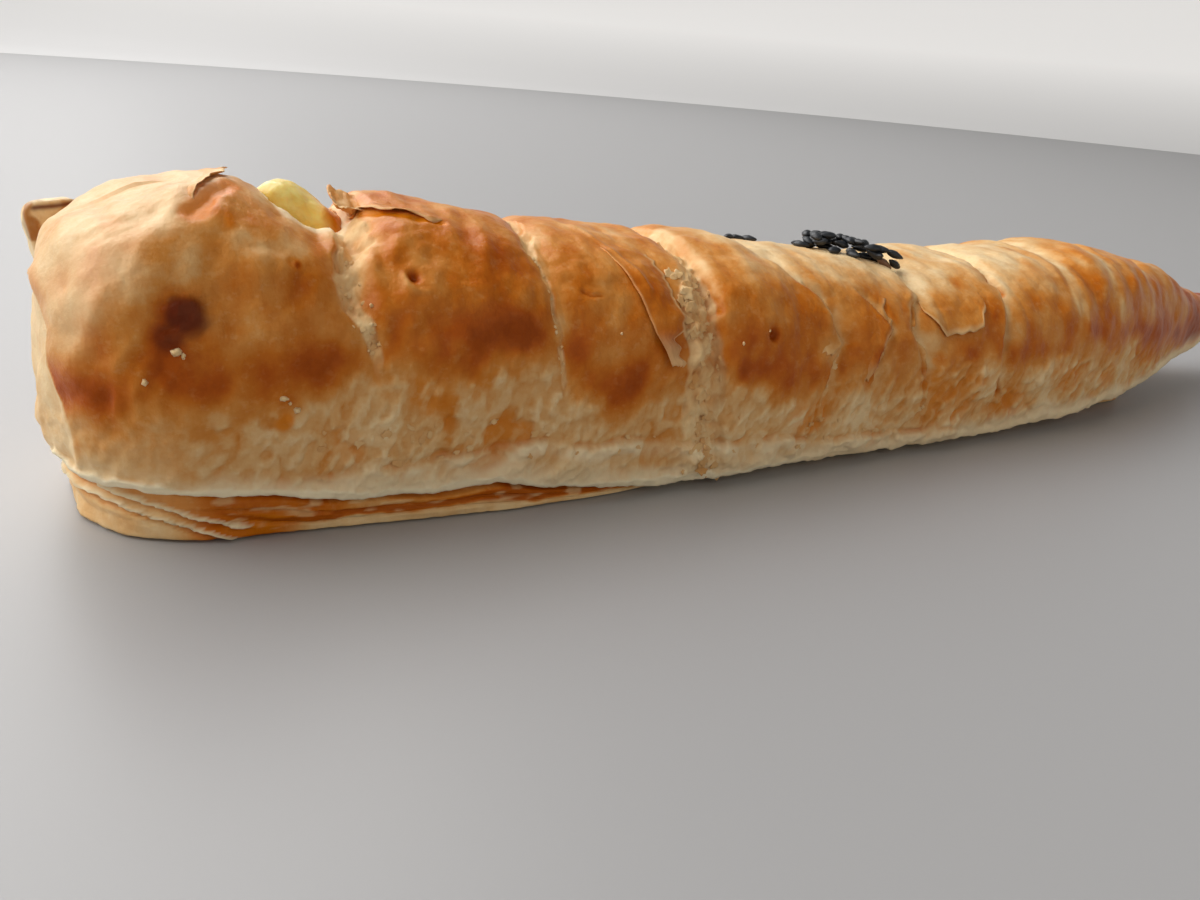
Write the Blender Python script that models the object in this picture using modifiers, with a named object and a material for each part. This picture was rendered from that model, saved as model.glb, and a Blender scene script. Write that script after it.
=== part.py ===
"""Pastry stick: a long slashed puff-pastry pie with a base sheet, a filling core and a pinch of black sesame.

+X runs from the blunt end to the pinched end, +Z is up and the base sheet lies on z = 0. Units are metres.
"""

import math
import random

import bpy
from mathutils import Vector, noise
from mathutils.bvhtree import BVHTree

MM = 0.001

# Outline of the upper sheet
LEFT_X = -113.0 * MM  # blunt end face
RIGHT_X = 114.5 * MM  # pinched tip
LEFT_NOSE = 19.0 * MM  # length over which the blunt end rounds off
RIGHT_NOSE = 6.5 * MM
NOSE_POWER = 2.5
HALF_WIDTH = (
    (-94, 21.0), (-62, 21.8), (-44, 23.0), (-28, 23.4), (-8, 22.2), (30, 21.6), (46, 20.6), (58, 18.8), (72, 15.4), (86, 11.2),
    (98, 7.2), (108, 4.4),
)  # (x, half of the width), all in millimetres like the tables below
CREST = (
    (-98, 36.6), (-91, 37.6), (-87, 36.4), (-82, 33.4), (-78, 32.6), (-76, 35.0), (-73, 36.0), (-64, 34.2),
    (-50, 32.4), (-35, 30.6), (-22, 30.8), (-9, 28.0), (12, 26.6), (38, 26.9), (58, 28.3), (72, 26.7), (86, 23.8),
    (94, 20.8), (98, 18.3), (105, 17.2), (112, 16.0),
)  # (x, height of the crest line)
LIP = (
    (-108, 7.2), (-96, 6.0), (-88, 5.0), (-82, 3.6), (-70, 3.6), (-62, 4.0), (-52, 2.0), (-42, 1.0), (22, 1.0),
    (45, 1.8), (64, 3.0), (81, 4.6), (100, 7.0), (110, 8.4),
)  # (x, height of the sheet's lower edge)
BELLY = 0.34  # height of the widest line between the lower edge and the crest
END_BELLY = 0.22
SIDE_POWER = 2.45  # above 2 is squarer than an ellipse
TUCK = 0.025  # how far the sides draw in below the belly
NOSE_TUCK = 0.11
WALL = 4.2 * MM
CAVITY_BEND = 45 * MM  # beyond this the cavity falls behind the outside
CAVITY_END = 76 * MM

# Slashes across the top: x, depth, sharp side, soft side, level at which the slash runs out
SLASHES = (
    (-77.6, 1.8, 1.3, 1.8, 0.22),
    (-52.9, 1.1, 0.8, 2.2, 0.24),
    (-29.2, 1.9, 1.0, 2.2, -0.70),
    (-12.0, 0.9, 1.0, 2.6, 0.16),
    (9.4, 0.9, 0.9, 2.6, 0.05),
    (31.6, 1.2, 0.6, 1.5, -0.05),
    (47.5, 0.5, 1.6, 2.4, 0.45),
    (62.0, 0.6, 1.6, 2.4, 0.40),
    (76.5, 0.5, 1.6, 2.4, 0.45),
    (92.0, 0.5, 1.6, 2.4, 0.45),
)
PUFF = 0.6 * MM  # rise of the dough between slashes
UNEVEN = 0.8 * MM
FOLD_Z = 7.6 * MM  # a flaky step along the near side
FOLD_RISE = 0.6 * MM
LIP_WAVE = 0.9 * MM

STATION_GAP = 5.2 * MM
NOSE_STATIONS = 13
TIP_STATIONS = 7
LOW_LEVELS = (-1.0, -0.82, -0.62, -0.42, -0.2, 0.0)
HIGH_LEVELS = (0.1, 0.2, 0.31, 0.42, 0.53, 0.64, 0.75, 0.86, 0.95)
CAVITY_LEVELS = (-1.0, -0.5, 0.0, 0.25, 0.5, 0.75)

# Opening at the first slash, through which the filling rises
MOUTH_AT = (-80.4 * MM, 1.5 * MM, 33.0 * MM)
MOUTH_SIZE = (5.3 * MM, 10.5 * MM, 9.0 * MM)

# Base sheet
BASE_LEFT = -110.2 * MM
BASE_RIGHT = 78.0 * MM
BASE_HALF = ((-88, 19.9), (-62, 21.8), (-47, 21.6), (-36, 20.2), (20, 18.8), (38, 17.0), (50, 15.2), (66, 12.6))
BASE_NOSE = 23.0 * MM
BASE_TAIL = 11.0 * MM
BASE_LAYERS = 3
LAYER_DEPTH = 0.5 * MM
SEAM_GAP = 0.55 * MM  # between the two sheets
BASE_STEP = 0.76  # share of the plan that rises inside the upper sheet
BASE_TOP = 5.6 * MM

# Filling core
CORE_LEFT = -101 * MM
CORE_RIGHT = 73 * MM
CORE_GAP = 0.9 * MM
CHUNK_AT = (-80.6 * MM, 1.6 * MM, 31.0 * MM)
CHUNK_SIZE = (4.2 * MM, 7.6 * MM, 4.9 * MM)

# Sesame
SEED_LENGTH = 3.0 * MM
SEED_WIDTH = 1.8 * MM
SEED_THICK = 1.1 * MM
PILE_SEEDS = 24
PILE_FROM = (0.4 * MM, 5.0 * MM)
PILE_TO = (11.0 * MM, -9.5 * MM)
PILE_SPREAD = 2.6 * MM
STRAY_SEEDS = ((-11.5 * MM, 5.5 * MM), (-9.2 * MM, 6.2 * MM), (-7.0 * MM, 4.6 * MM))

# Peeled flakes: (x of the root, x of the free edge, level at the top, level at the foot, lift of the free edge,
# share of the width lost by the foot)
FLAKES = {
    "ribbon": (-45.0, -34.4, 0.90, 0.12, 1.3, 0.62),
    "first_puff": (-97.0, -90.0, 1.04, 0.88, 1.0, 0.3),
    "second_puff": (-60.0, -76.4, 1.05, 0.84, 1.9, 0.3),
    "third_puff": (-17.0, -10.4, 0.66, 0.30, 0.6, 0.5),
    "fifth_puff": (2.0, 10.4, 0.62, 0.26, 0.6, 0.5),
    "sixth_puff": (14.0, 26.5, 0.66, 0.42, 0.7, 0.3),
}
FLAKE_THICK = 0.7 * MM
FLAKE_COLUMNS = 5
FLAKE_ROWS = 6

# Pinched fold that sticks out at the far corner of the blunt end
EAR_AT = (-108.7 * MM, 11.0 * MM, 29.2 * MM)
EAR_SIZE = (7.4 * MM, 5.6 * MM, 9.4 * MM)
EAR_TURN = (math.radians(-8), math.radians(-6), math.radians(12))


def table(rows, x):
    """A smoothed reading of (x, value) pairs given in millimetres."""
    total = 0.0
    for shift in (-3 * MM, 0.0, 3 * MM):
        at = (x + shift) / MM
        if at <= rows[0][0]:
            total += rows[0][1]
            continue
        if at >= rows[-1][0]:
            total += rows[-1][1]
            continue
        for (x0, v0), (x1, v1) in zip(rows, rows[1:]):
            if x0 <= at <= x1:
                share = (at - x0) / (x1 - x0)
                share = share * share * (3 - 2 * share) * 0.4 + share * 0.6
                total += v0 + (v1 - v0) * share
                break
    return total / 3 * MM


def ease(low, high, value):
    share = min(1.0, max(0.0, (value - low) / (high - low)))
    return share * share * (3 - 2 * share)


def power(value, exponent):
    return math.copysign(abs(value) ** exponent, value)


def rounded_ring(xs, left, right, half_width, left_count, right_count):
    """A closed run of stations round a long plan: (outline x, outline y, spine x, key shared by both sides)."""
    near = [(x, -half_width(x), x, k) for k, x in enumerate(xs)]
    far = [(x, half_width(x), x, k) for k, x in enumerate(xs)]
    tip = []
    for step in range(1, right_count):
        angle = math.pi * step / right_count - math.pi / 2
        y = half_width(xs[-1]) * power(math.sin(angle), 2 / NOSE_POWER)
        tip.append((xs[-1] + (right - xs[-1]) * abs(math.cos(angle)) ** (2 / NOSE_POWER), y, xs[-1], len(xs) - 1))
    nose = []
    for step in range(1, left_count):
        angle = math.pi / 2 - math.pi * step / left_count
        y = half_width(xs[0]) * power(math.sin(angle), 2 / NOSE_POWER)
        nose.append((xs[0] - (xs[0] - left) * abs(math.cos(angle)) ** (2 / NOSE_POWER), y, xs[0], 0))
    return near + tip + far[::-1] + nose


def station_xs(start, stop, gap, extra=()):
    count = max(2, round((stop - start) / gap))
    xs = [start + (stop - start) * k / count for k in range(count + 1)]
    for at in extra:
        xs = [x for x in xs if abs(x - at) > 0.45 * MM or x in (start, stop)]
        if start < at < stop:
            xs.append(at)
    return sorted(set(xs))


def nose_share(x, y, spine_x):
    """0 on the long sides, 1 on the end face."""
    reach = abs(x - spine_x)
    return reach / (reach + abs(y)) if reach > 1e-9 else 0.0


def lip_edge(x):
    """Height of the upper sheet's uneven lower edge."""
    height = table(LIP, x)
    return height + LIP_WAVE * min(1.0, height / (4 * MM)) * noise.noise(Vector((x * 95.0, 0.0, 2.0)))


def shell_point(station, level, wall=0.0):
    """Level -1 is the lower edge, 0 the widest line and 1 the crest."""
    x, y, spine_x, _ = station
    crest = table(CREST, spine_x) - wall
    lip = lip_edge(x)
    end = nose_share(x, y, spine_x)
    belly = lip + (BELLY + (END_BELLY - BELLY) * end) * (table(CREST, spine_x) - lip)
    if level <= 0:
        spread = 1 - (TUCK + (NOSE_TUCK - TUCK) * end) * abs(level) ** 3
        z = belly + level * (belly - lip)
    else:
        angle = min(level, 1.0) * math.pi / 2
        spread = math.cos(angle) ** (2 / SIDE_POWER) if level < 1 else 0.0
        z = belly + (crest - belly) * math.sin(angle) ** (2 / SIDE_POWER)
    return Vector((spine_x + (x - spine_x) * spread, y * spread, z))


def slash_depth(x, level):
    depth = 0.0
    for at, deep, sharp, soft, runs_out in SLASHES:
        side = (x / MM - at) / (sharp if x / MM < at else soft)
        depth += deep * math.exp(-side * side) * MM * ease(runs_out - 0.12, runs_out + 0.3, level)
    return depth


def puff_height(x):
    marks = [LEFT_X / MM - 4] + [row[0] for row in SLASHES] + [RIGHT_X / MM + 4]
    for a, b in zip(marks, marks[1:]):
        if a <= x / MM <= b:
            share = 2 * (x / MM - a) / (b - a) - 1
            return PUFF * min(1.0, (b - a) / 20) * (1 - abs(share) ** 3)
    return 0.0


def relief(point, level, end):
    """How far the outside stands out from the smooth form."""
    across = ease(-0.3, 0.6, level)
    rise = puff_height(point.x) * across
    rise -= slash_depth(point.x, level) * (1 - ease(0.02, 0.3, end))
    broad = noise.noise(point * 85.0)
    fine = noise.noise(point * 240.0 + Vector((3.7, 1.1, 8.2)))
    rise += UNEVEN * (0.75 * broad + 0.35 * fine)
    fold = ease(-80 * MM, -76 * MM, point.x) * (1 - ease(-32 * MM, -27 * MM, point.x))
    wave = 0.9 * MM * noise.noise(Vector((point.x * 130.0, 0.0, 5.0)))
    if point.y < 0:
        rise += FOLD_RISE * fold * ease(FOLD_Z + wave - 0.8 * MM, FOLD_Z + wave + 0.6 * MM, point.z)
    return rise


def outside_point(station, level, lift=0.0):
    smooth = shell_point(station, level)
    end = nose_share(station[0], station[1], station[2])
    centre = Vector((station[2], 0.0, BELLY * table(CREST, station[2])))
    away = smooth - centre
    away.z = max(away.z, 0.0)
    away = away.normalized()
    low = ease(-1.0, -0.8, level)
    point = smooth + away * (relief(smooth, level, end) * (0.35 + 0.65 * low) + lift)
    return point


def ring_faces(lower, upper, flip=False):
    """Faces between two closed runs of vertex numbers; repeated numbers make triangles."""
    faces = []
    count = len(lower)
    for k in range(count):
        n = (k + 1) % count
        quad = [lower[k], lower[n], upper[n], upper[k]]
        face = [v for i, v in enumerate(quad) if v != quad[i - 1]]
        if len(face) > 2:
            faces.append(face[::-1] if flip else face)
    return faces


def new_object(name, verts, faces, collection):
    mesh = bpy.data.meshes.new(name)
    mesh.from_pydata([tuple(v) for v in verts], [], faces)
    mesh.validate()
    mesh.update()
    made = bpy.data.objects.new(name, mesh)
    collection.objects.link(made)
    return made


def material(name, colour, roughness):
    made = bpy.data.materials.new(name)
    made.use_nodes = True
    shader = made.node_tree.nodes["Principled BSDF"]
    shader.inputs["Base Color"].default_value = (*colour, 1.0)
    shader.inputs["Roughness"].default_value = roughness
    return made


def apply_modifiers(thing):
    graph = bpy.context.evaluated_depsgraph_get()
    mesh = bpy.data.meshes.new_from_object(thing.evaluated_get(graph))
    thing.modifiers.clear()
    old = thing.data
    thing.data = mesh
    mesh.name = thing.name
    bpy.data.meshes.remove(old)


def crest_fold(verts, ring, level_point):
    """Adds the spine vertices that both sides share and returns one number per station."""
    made = {}
    numbers = []
    for station in ring:
        key = station[3]
        if key not in made:
            verts.append(level_point((station[2], 0.0, station[2], key)))
            made[key] = len(verts) - 1
        numbers.append(made[key])
    return numbers


def cavity_x(x):
    """Matches a station outside to one inside, where the cavity ends short of the pinched tip."""
    if x <= CAVITY_BEND:
        return x
    return CAVITY_BEND + (x - CAVITY_BEND) * (CAVITY_END - CAVITY_BEND) / (RIGHT_X - CAVITY_BEND)


def build_crust_top(collection):
    start = LEFT_X + LEFT_NOSE
    stop = RIGHT_X - RIGHT_NOSE
    extra = []
    for at, _, sharp, soft, _ in SLASHES:
        for offset in (-1.6 * sharp, -0.75 * sharp, 0.0, 0.6 * soft, 1.5 * soft):
            extra.append((at + offset) * MM)
    xs = station_xs(start, stop, STATION_GAP, extra)
    ring = rounded_ring(xs, LEFT_X, RIGHT_X, lambda x: table(HALF_WIDTH, x), NOSE_STATIONS, TIP_STATIONS)
    verts = []
    outer = []
    for level in LOW_LEVELS + HIGH_LEVELS:
        outer.append(list(range(len(verts), len(verts) + len(ring))))
        verts += [outside_point(station, level) for station in ring]
    outer.append(crest_fold(verts, ring, lambda station: outside_point(station, 1.0)))

    inner_ring = []
    for x, y, spine_x, key in ring:
        inside = cavity_x(spine_x)
        half = table(HALF_WIDTH, inside) - WALL
        side = y / max(table(HALF_WIDTH, spine_x), 1e-6)
        reach = x - spine_x
        if reach < 0:
            reach *= (LEFT_NOSE - WALL) / LEFT_NOSE
        inner_ring.append((inside + reach, half * side, inside, key))
    inner = []
    for level in CAVITY_LEVELS:
        inner.append(list(range(len(verts), len(verts) + len(ring))))
        verts += [shell_point(station, level, WALL) for station in inner_ring]
    inner.append(crest_fold(verts, inner_ring, lambda station: shell_point(station, 1.0, WALL)))

    faces = []
    for lower, upper in zip(outer, outer[1:]):
        faces += ring_faces(lower, upper)
    for lower, upper in zip(inner, inner[1:]):
        faces += ring_faces(lower, upper, flip=True)
    faces += ring_faces(inner[0], outer[0])
    return new_object("crust_top", verts, faces, collection)


def flake_station(x):
    return (x, -table(HALF_WIDTH, x), x, 0)


def build_flake(name, collection, randoms):
    """A thin curled patch of skin, its root sunk in the dough and its far edge lifted and torn."""
    root, free, top, foot, lift, waist = FLAKES[name]
    over = []
    under = []
    for row in range(FLAKE_ROWS):
        down = row / (FLAKE_ROWS - 1)
        level = top + (foot - top) * down
        torn = randoms.uniform(-0.9, 0.9)
        narrow = 1 - waist * down * down
        for column in range(FLAKE_COLUMNS):
            share = column / (FLAKE_COLUMNS - 1)
            x = (free - (free - root) * (1 - share) * narrow + torn * share) * MM
            lifted = (-1.3 + (lift + 1.3) * share ** 0.8) * MM
            if level > 1:
                mirrored = (x, table(HALF_WIDTH, x), x, 0)
                over.append(outside_point(mirrored, 2 - level, lifted))
                under.append(outside_point(mirrored, 2 - level, lifted - FLAKE_THICK))
            else:
                over.append(outside_point(flake_station(x), level, lifted))
                under.append(outside_point(flake_station(x), level, lifted - FLAKE_THICK))
    count = len(over)
    faces = []
    for row in range(FLAKE_ROWS - 1):
        for column in range(FLAKE_COLUMNS - 1):
            a = row * FLAKE_COLUMNS + column
            quad = [a, a + 1, a + FLAKE_COLUMNS + 1, a + FLAKE_COLUMNS]
            faces.append(quad[::-1])
            faces.append([v + count for v in quad])
    edge = [column for column in range(FLAKE_COLUMNS)]
    edge += [row * FLAKE_COLUMNS + FLAKE_COLUMNS - 1 for row in range(1, FLAKE_ROWS)]
    edge += [(FLAKE_ROWS - 1) * FLAKE_COLUMNS + column for column in range(FLAKE_COLUMNS - 2, -1, -1)]
    edge += [row * FLAKE_COLUMNS for row in range(FLAKE_ROWS - 2, 0, -1)]
    for a, b in zip(edge, edge[1:] + edge[:1]):
        faces.append([a, b, b + count, a + count])
    made = new_object("flake_" + name, over + under, faces, collection)
    turn_outward(made)
    return made


def turn_outward(thing):
    """Flips a closed mesh whose faces point inward."""
    mesh = thing.data
    mesh.calc_loop_triangles()
    volume = 0.0
    for triangle in mesh.loop_triangles:
        a, b, c = (mesh.vertices[v].co for v in triangle.vertices)
        volume += a.dot(b.cross(c))
    if volume < 0:
        mesh.flip_normals()


def ball(name, at, size, collection, segments=12, rings=8, turn=(0.0, 0.0, 0.0)):
    bpy.ops.mesh.primitive_uv_sphere_add(segments=segments, ring_count=rings, radius=1.0, location=at, rotation=turn)
    made = bpy.context.active_object
    made.name = name
    made.scale = size
    for holder in list(made.users_collection):
        holder.objects.unlink(made)
    collection.objects.link(made)
    return made


def build_ear(collection):
    """A squarish pinched fold of dough with softened corners, thinner toward its upper rim."""
    bpy.ops.mesh.primitive_cube_add(size=1.0, location=EAR_AT, rotation=EAR_TURN)
    made = bpy.context.active_object
    made.name = "ear"
    made.scale = EAR_SIZE
    for vertex in made.data.vertices:
        if vertex.co.z > 0:
            vertex.co.y *= 0.55
            vertex.co.x -= 0.05
    for holder in list(made.users_collection):
        holder.objects.unlink(made)
    collection.objects.link(made)
    soft = made.modifiers.new("softened", "SUBSURF")
    soft.levels = 2
    soft.render_levels = 2
    apply_modifiers(made)


def seed(name, at, normal, spin, tilt, collection):
    """One sesame seed: a flat drop, pointed at one end, lying on the surface with the given normal."""
    made = ball(name, at, (SEED_LENGTH / 2, SEED_WIDTH / 2, SEED_THICK / 2), collection, segments=6, rings=4)
    made.data.transform(Vector((0, 0, 1)).rotation_difference(Vector((1, 0, 0))).to_matrix().to_4x4())
    for vertex in made.data.vertices:
        taper = 1 - 0.38 * max(0.0, vertex.co.x)
        vertex.co.y *= taper
        vertex.co.z *= taper
    lie = normal.to_track_quat("Z", "Y")
    made.rotation_mode = "QUATERNION"
    heading = Vector((1, 0, 0)).rotation_difference(Vector((math.cos(spin), math.sin(spin), 0)))
    lean = Vector((1, 0, 0)).rotation_difference(Vector((math.cos(tilt), 0, math.sin(tilt))))
    made.rotation_quaternion = lie @ heading @ lean
    return made


def build_seeds(crust, collection):
    randoms = random.Random(12)
    tree = BVHTree.FromObject(crust, bpy.context.evaluated_depsgraph_get())
    taken = []
    spots = []
    for k in range(PILE_SEEDS):
        share = (k + 0.5) / PILE_SEEDS
        side = math.sin(k * 2.4) * PILE_SPREAD * (1 - 0.35 * abs(2 * share - 1))
        x = PILE_FROM[0] + (PILE_TO[0] - PILE_FROM[0]) * share + side * 0.8 + randoms.uniform(-0.7, 0.7) * MM
        y = PILE_FROM[1] + (PILE_TO[1] - PILE_FROM[1]) * share + side * 0.5 + randoms.uniform(-0.7, 0.7) * MM
        spots.append((x, y))
    spots += list(STRAY_SEEDS)
    for k, (x, y) in enumerate(spots):
        hit, normal, _, _ = tree.ray_cast(Vector((x, y, 0.1)), Vector((0, 0, -1)))
        crowd = sum(1 for other in taken if (Vector((x, y)) - other).length < 1.5 * MM)
        raised = 0.30 * SEED_THICK + min(crowd, 2) * 0.85 * SEED_THICK
        at = hit + normal * raised
        seed(
            "seed_%02d" % k, at, normal, randoms.uniform(0, math.tau), randoms.uniform(-0.35, 0.35) * min(crowd, 1),
            collection,
        )
        taken.append(Vector((x, y)))


def join_all(target, collection, operation, solver):
    joined = target.modifiers.new(operation.lower(), "BOOLEAN")
    joined.operand_type = "COLLECTION"
    joined.collection = collection
    joined.operation = operation
    joined.solver = solver
    apply_modifiers(target)
    for thing in list(collection.objects):
        bpy.data.objects.remove(thing, do_unlink=True)
    bpy.data.collections.remove(collection)


def keep_largest(thing):
    """Drops loose scraps, keeping the largest connected body."""
    mesh = thing.data
    parent = list(range(len(mesh.vertices)))

    def top(v):
        while parent[v] != v:
            parent[v] = parent[parent[v]]
            v = parent[v]
        return v

    for edge in mesh.edges:
        a, b = top(edge.vertices[0]), top(edge.vertices[1])
        if a != b:
            parent[a] = b
    sizes = {}
    for v in range(len(parent)):
        sizes[top(v)] = sizes.get(top(v), 0) + 1
    main = max(sizes, key=sizes.get)
    if len(sizes) == 1:
        return
    numbers = {}
    verts = []
    for v in mesh.vertices:
        if top(v.index) == main:
            numbers[v.index] = len(verts)
            verts.append(v.co.copy())
    faces = [[numbers[v] for v in p.vertices] for p in mesh.polygons if p.vertices[0] in numbers]
    kept = bpy.data.meshes.new(mesh.name)
    kept.from_pydata(verts, [], faces)
    thing.data = kept
    bpy.data.meshes.remove(mesh)


def flange_top(x):
    """Height of the base sheet's rim, just under the upper sheet's edge."""
    return lip_edge(x) - SEAM_GAP


def base_top(x):
    """Height of the base sheet inside the upper one."""
    return max(BASE_TOP, lip_edge(x) + 0.3 * MM)


def build_base(collection):
    xs = station_xs(BASE_LEFT + BASE_NOSE, BASE_RIGHT - BASE_TAIL, 4.6 * MM)
    ring = rounded_ring(xs, BASE_LEFT, BASE_RIGHT, lambda x: table(BASE_HALF, x), 14, 8)
    rows = [(0.0, -0.8 * MM, 0.0)]
    for layer in range(BASE_LAYERS):
        rows.append(((layer + 0.18) / BASE_LAYERS, 0.0, 1.0))
        rows.append(((layer + 0.72) / BASE_LAYERS, 0.0, 1.0))
        if layer < BASE_LAYERS - 1:
            rows.append(((layer + 0.95) / BASE_LAYERS, -LAYER_DEPTH, 1.0))
    rows.append((1.0, -0.7 * MM, 0.6))
    verts = []
    loops = []
    for share, inset, uneven in rows:
        loops.append(list(range(len(verts), len(verts) + len(ring))))
        for x, y, spine_x, _ in ring:
            thick = flange_top(x)
            full = min(1.0, thick / (4 * MM))
            away = Vector((x - spine_x, y, 0.0)).normalized()
            wave = 0.45 * MM * noise.noise(Vector((x * 160.0, y * 160.0, share * 3.0))) * uneven
            point = Vector((x, y, 0.0)) + away * (inset * full + wave * full)
            point.z = thick * share
            verts.append(point)
    for height in (flange_top, base_top):
        loops.append(list(range(len(verts), len(verts) + len(ring))))
        for x, y, spine_x, _ in ring:
            inner_x = spine_x + (x - spine_x) * BASE_STEP
            verts.append(Vector((inner_x, y * BASE_STEP, height(inner_x))))
    faces = []
    for lower, upper in zip(loops, loops[1:]):
        faces += ring_faces(lower, upper)
    under = crest_fold(verts, ring, lambda station: Vector((station[2], 0.0, 0.0)))
    faces += ring_faces(loops[0], under, flip=True)
    over = crest_fold(verts, ring, lambda station: Vector((station[2], 0.0, base_top(station[2]))))
    faces += ring_faces(loops[-1], over)
    return new_object("crust_base", verts, faces, collection)


def core_point(station, level):
    """The cavity's form drawn in by a small gap, with a flat floor above the base sheet."""
    point = shell_point(station, level, WALL + CORE_GAP)
    point.z = max(point.z, base_top(point.x) + CORE_GAP)
    return point


def build_filling(collection, cutters):
    xs = station_xs(CORE_LEFT + 12 * MM, CORE_RIGHT - 8 * MM, 7.0 * MM, (-82 * MM, -78 * MM, -75 * MM))
    ring = rounded_ring(xs, CORE_LEFT, CORE_RIGHT, lambda x: table(HALF_WIDTH, x) - WALL - CORE_GAP, 10, 8)
    verts = []
    loops = []
    for level in (-0.35, 0.0, 0.25, 0.5, 0.75):
        loops.append(list(range(len(verts), len(verts) + len(ring))))
        verts += [core_point(station, level) for station in ring]
    loops.append(crest_fold(verts, ring, lambda station: core_point(station, 1.0)))
    faces = []
    for lower, upper in zip(loops, loops[1:]):
        faces += ring_faces(lower, upper)
    floor = crest_fold(verts, ring, lambda station: Vector((station[2], 0.0, base_top(station[2]) + CORE_GAP)))
    faces += ring_faces(loops[0], floor, flip=True)
    core = new_object("filling", verts, faces, collection)
    chunk = ball("chunk", CHUNK_AT, CHUNK_SIZE, cutters, segments=16, rings=10, turn=(0.0, math.radians(24), 0.0))
    for vertex in chunk.data.vertices:
        vertex.co *= 1 + 0.07 * noise.noise(vertex.co * 2.3)
    join_all(core, cutters, "UNION", "EXACT")
    return core


def build():
    for thing in list(bpy.data.objects):
        bpy.data.objects.remove(thing, do_unlink=True)
    scene = bpy.context.scene
    parts = bpy.data.collections.new("pastry_stick")
    scene.collection.children.link(parts)

    def cutter_collection(name):
        made = bpy.data.collections.new(name)
        made.hide_render = True
        scene.collection.children.link(made)
        return made

    crust = build_crust_top(parts)
    cutters = cutter_collection("mouth_cutters")
    mouth = ball("mouth", MOUTH_AT, MOUTH_SIZE, cutters, segments=14, rings=10)
    mouth.display_type = "WIRE"
    join_all(crust, cutters, "DIFFERENCE", "EXACT")

    additions = cutter_collection("flakes_and_seeds")
    randoms = random.Random(5)
    for name in FLAKES:
        build_flake(name, additions, randoms)
    build_ear(additions)
    build_seeds(crust, additions)
    for thing in additions.objects:
        thing.display_type = "WIRE"
    join_all(crust, additions, "UNION", "MANIFOLD")
    keep_largest(crust)

    base = build_base(parts)
    filling = build_filling(parts, cutter_collection("chunk_cutters"))

    crust.data.materials.clear()
    crust.data.materials.append(material("browned_pastry", (0.52, 0.24, 0.075), 0.42))
    base.data.materials.append(material("base_pastry", (0.47, 0.26, 0.10), 0.6))
    filling.data.materials.clear()
    filling.data.materials.append(material("yellow_filling", (0.78, 0.47, 0.06), 0.4))

    root = bpy.data.objects.new("pastry_stick", None)
    parts.objects.link(root)
    for thing in (crust, base, filling):
        thing.parent = root
    low = Vector((min(v.co.x for v in crust.data.vertices), min(v.co.y for v in crust.data.vertices), 0.0))
    high = Vector((max(v.co.x for v in crust.data.vertices), max(v.co.y for v in crust.data.vertices), 0.0))
    root.location = -(low + high) / 2
    bpy.context.view_layer.update()


build()
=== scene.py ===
"""Dressed scene of the pastry stick: browned puff-pastry skin, flaky base, yellow filling and black sesame.

Shapes are worked out in the stick's own millimetres (+X from the blunt end to the pinched end, +Z up) and
moved into the frame by SHIFT when a mesh is made.
"""

import math
import random

import bmesh
import bpy
import numpy as np
from mathutils import Matrix, Vector, kdtree, noise
from mathutils.bvhtree import BVHTree


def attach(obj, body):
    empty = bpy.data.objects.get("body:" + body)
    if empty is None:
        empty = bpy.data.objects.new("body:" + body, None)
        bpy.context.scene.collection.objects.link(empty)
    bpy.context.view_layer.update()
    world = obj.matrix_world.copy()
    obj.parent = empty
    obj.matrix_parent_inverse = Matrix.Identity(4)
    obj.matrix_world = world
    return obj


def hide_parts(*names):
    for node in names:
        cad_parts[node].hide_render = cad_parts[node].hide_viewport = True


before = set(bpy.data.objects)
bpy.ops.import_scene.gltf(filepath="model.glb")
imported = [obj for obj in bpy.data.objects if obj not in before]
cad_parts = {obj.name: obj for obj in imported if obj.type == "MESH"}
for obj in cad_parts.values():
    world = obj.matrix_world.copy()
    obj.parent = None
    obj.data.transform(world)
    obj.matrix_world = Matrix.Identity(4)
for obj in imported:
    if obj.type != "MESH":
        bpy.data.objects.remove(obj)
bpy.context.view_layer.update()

MM = 0.001
SHIFT = np.array((-0.8275, 0.7313, 0.0)) * MM  # from the stick's own coordinates to the frame

# ---------------------------------------------------------------- the stick's main form, as in the solids

LEFT_X, RIGHT_X = -113.0, 114.5
LEFT_NOSE, RIGHT_NOSE = 19.0, 6.5
NOSE_POWER = 2.5
HALF_WIDTH = (
    (-94, 21.0), (-62, 21.8), (-44, 23.0), (-28, 23.4), (-8, 22.2), (30, 21.6), (46, 20.6), (58, 18.8), (72, 15.4),
    (86, 11.2), (98, 7.2), (108, 4.4),
)
CREST = (
    (-98, 36.6), (-91, 37.6), (-87, 36.4), (-82, 33.4), (-78, 32.6), (-76, 35.0), (-73, 36.0), (-64, 34.2),
    (-50, 32.4), (-35, 30.6), (-22, 30.8), (-9, 28.0), (12, 26.6), (38, 26.9), (58, 28.3), (72, 26.7), (86, 23.8),
    (94, 20.8), (98, 18.3), (105, 17.2), (112, 16.0),
)
LIP = (
    (-108, 7.2), (-96, 6.0), (-88, 5.0), (-82, 3.6), (-70, 3.6), (-62, 4.0), (-52, 2.0), (-42, 1.0), (22, 1.0),
    (45, 1.8), (64, 3.0), (81, 4.6), (100, 7.0), (110, 8.4),
)
LIP_WAVE = 0.9
BELLY, END_BELLY = 0.34, 0.22
SIDE_POWER = 2.45
TUCK, NOSE_TUCK = 0.025, 0.11
WALL = 4.2
CAVITY_BEND, CAVITY_END = 45.0, 76.0
PUFF, UNEVEN = 0.6, 0.8


def dent(line, runs_out, pale):
    """A slash that stayed shut: a shallow groove with no bare crumb."""
    shut = ((0, 0.0), (1, 0.0))
    return dict(line=line, trench=(0.5, 1.6, 2.4, runs_out), ends=0.5, left=shut, right=shut, pale=pale)


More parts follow.
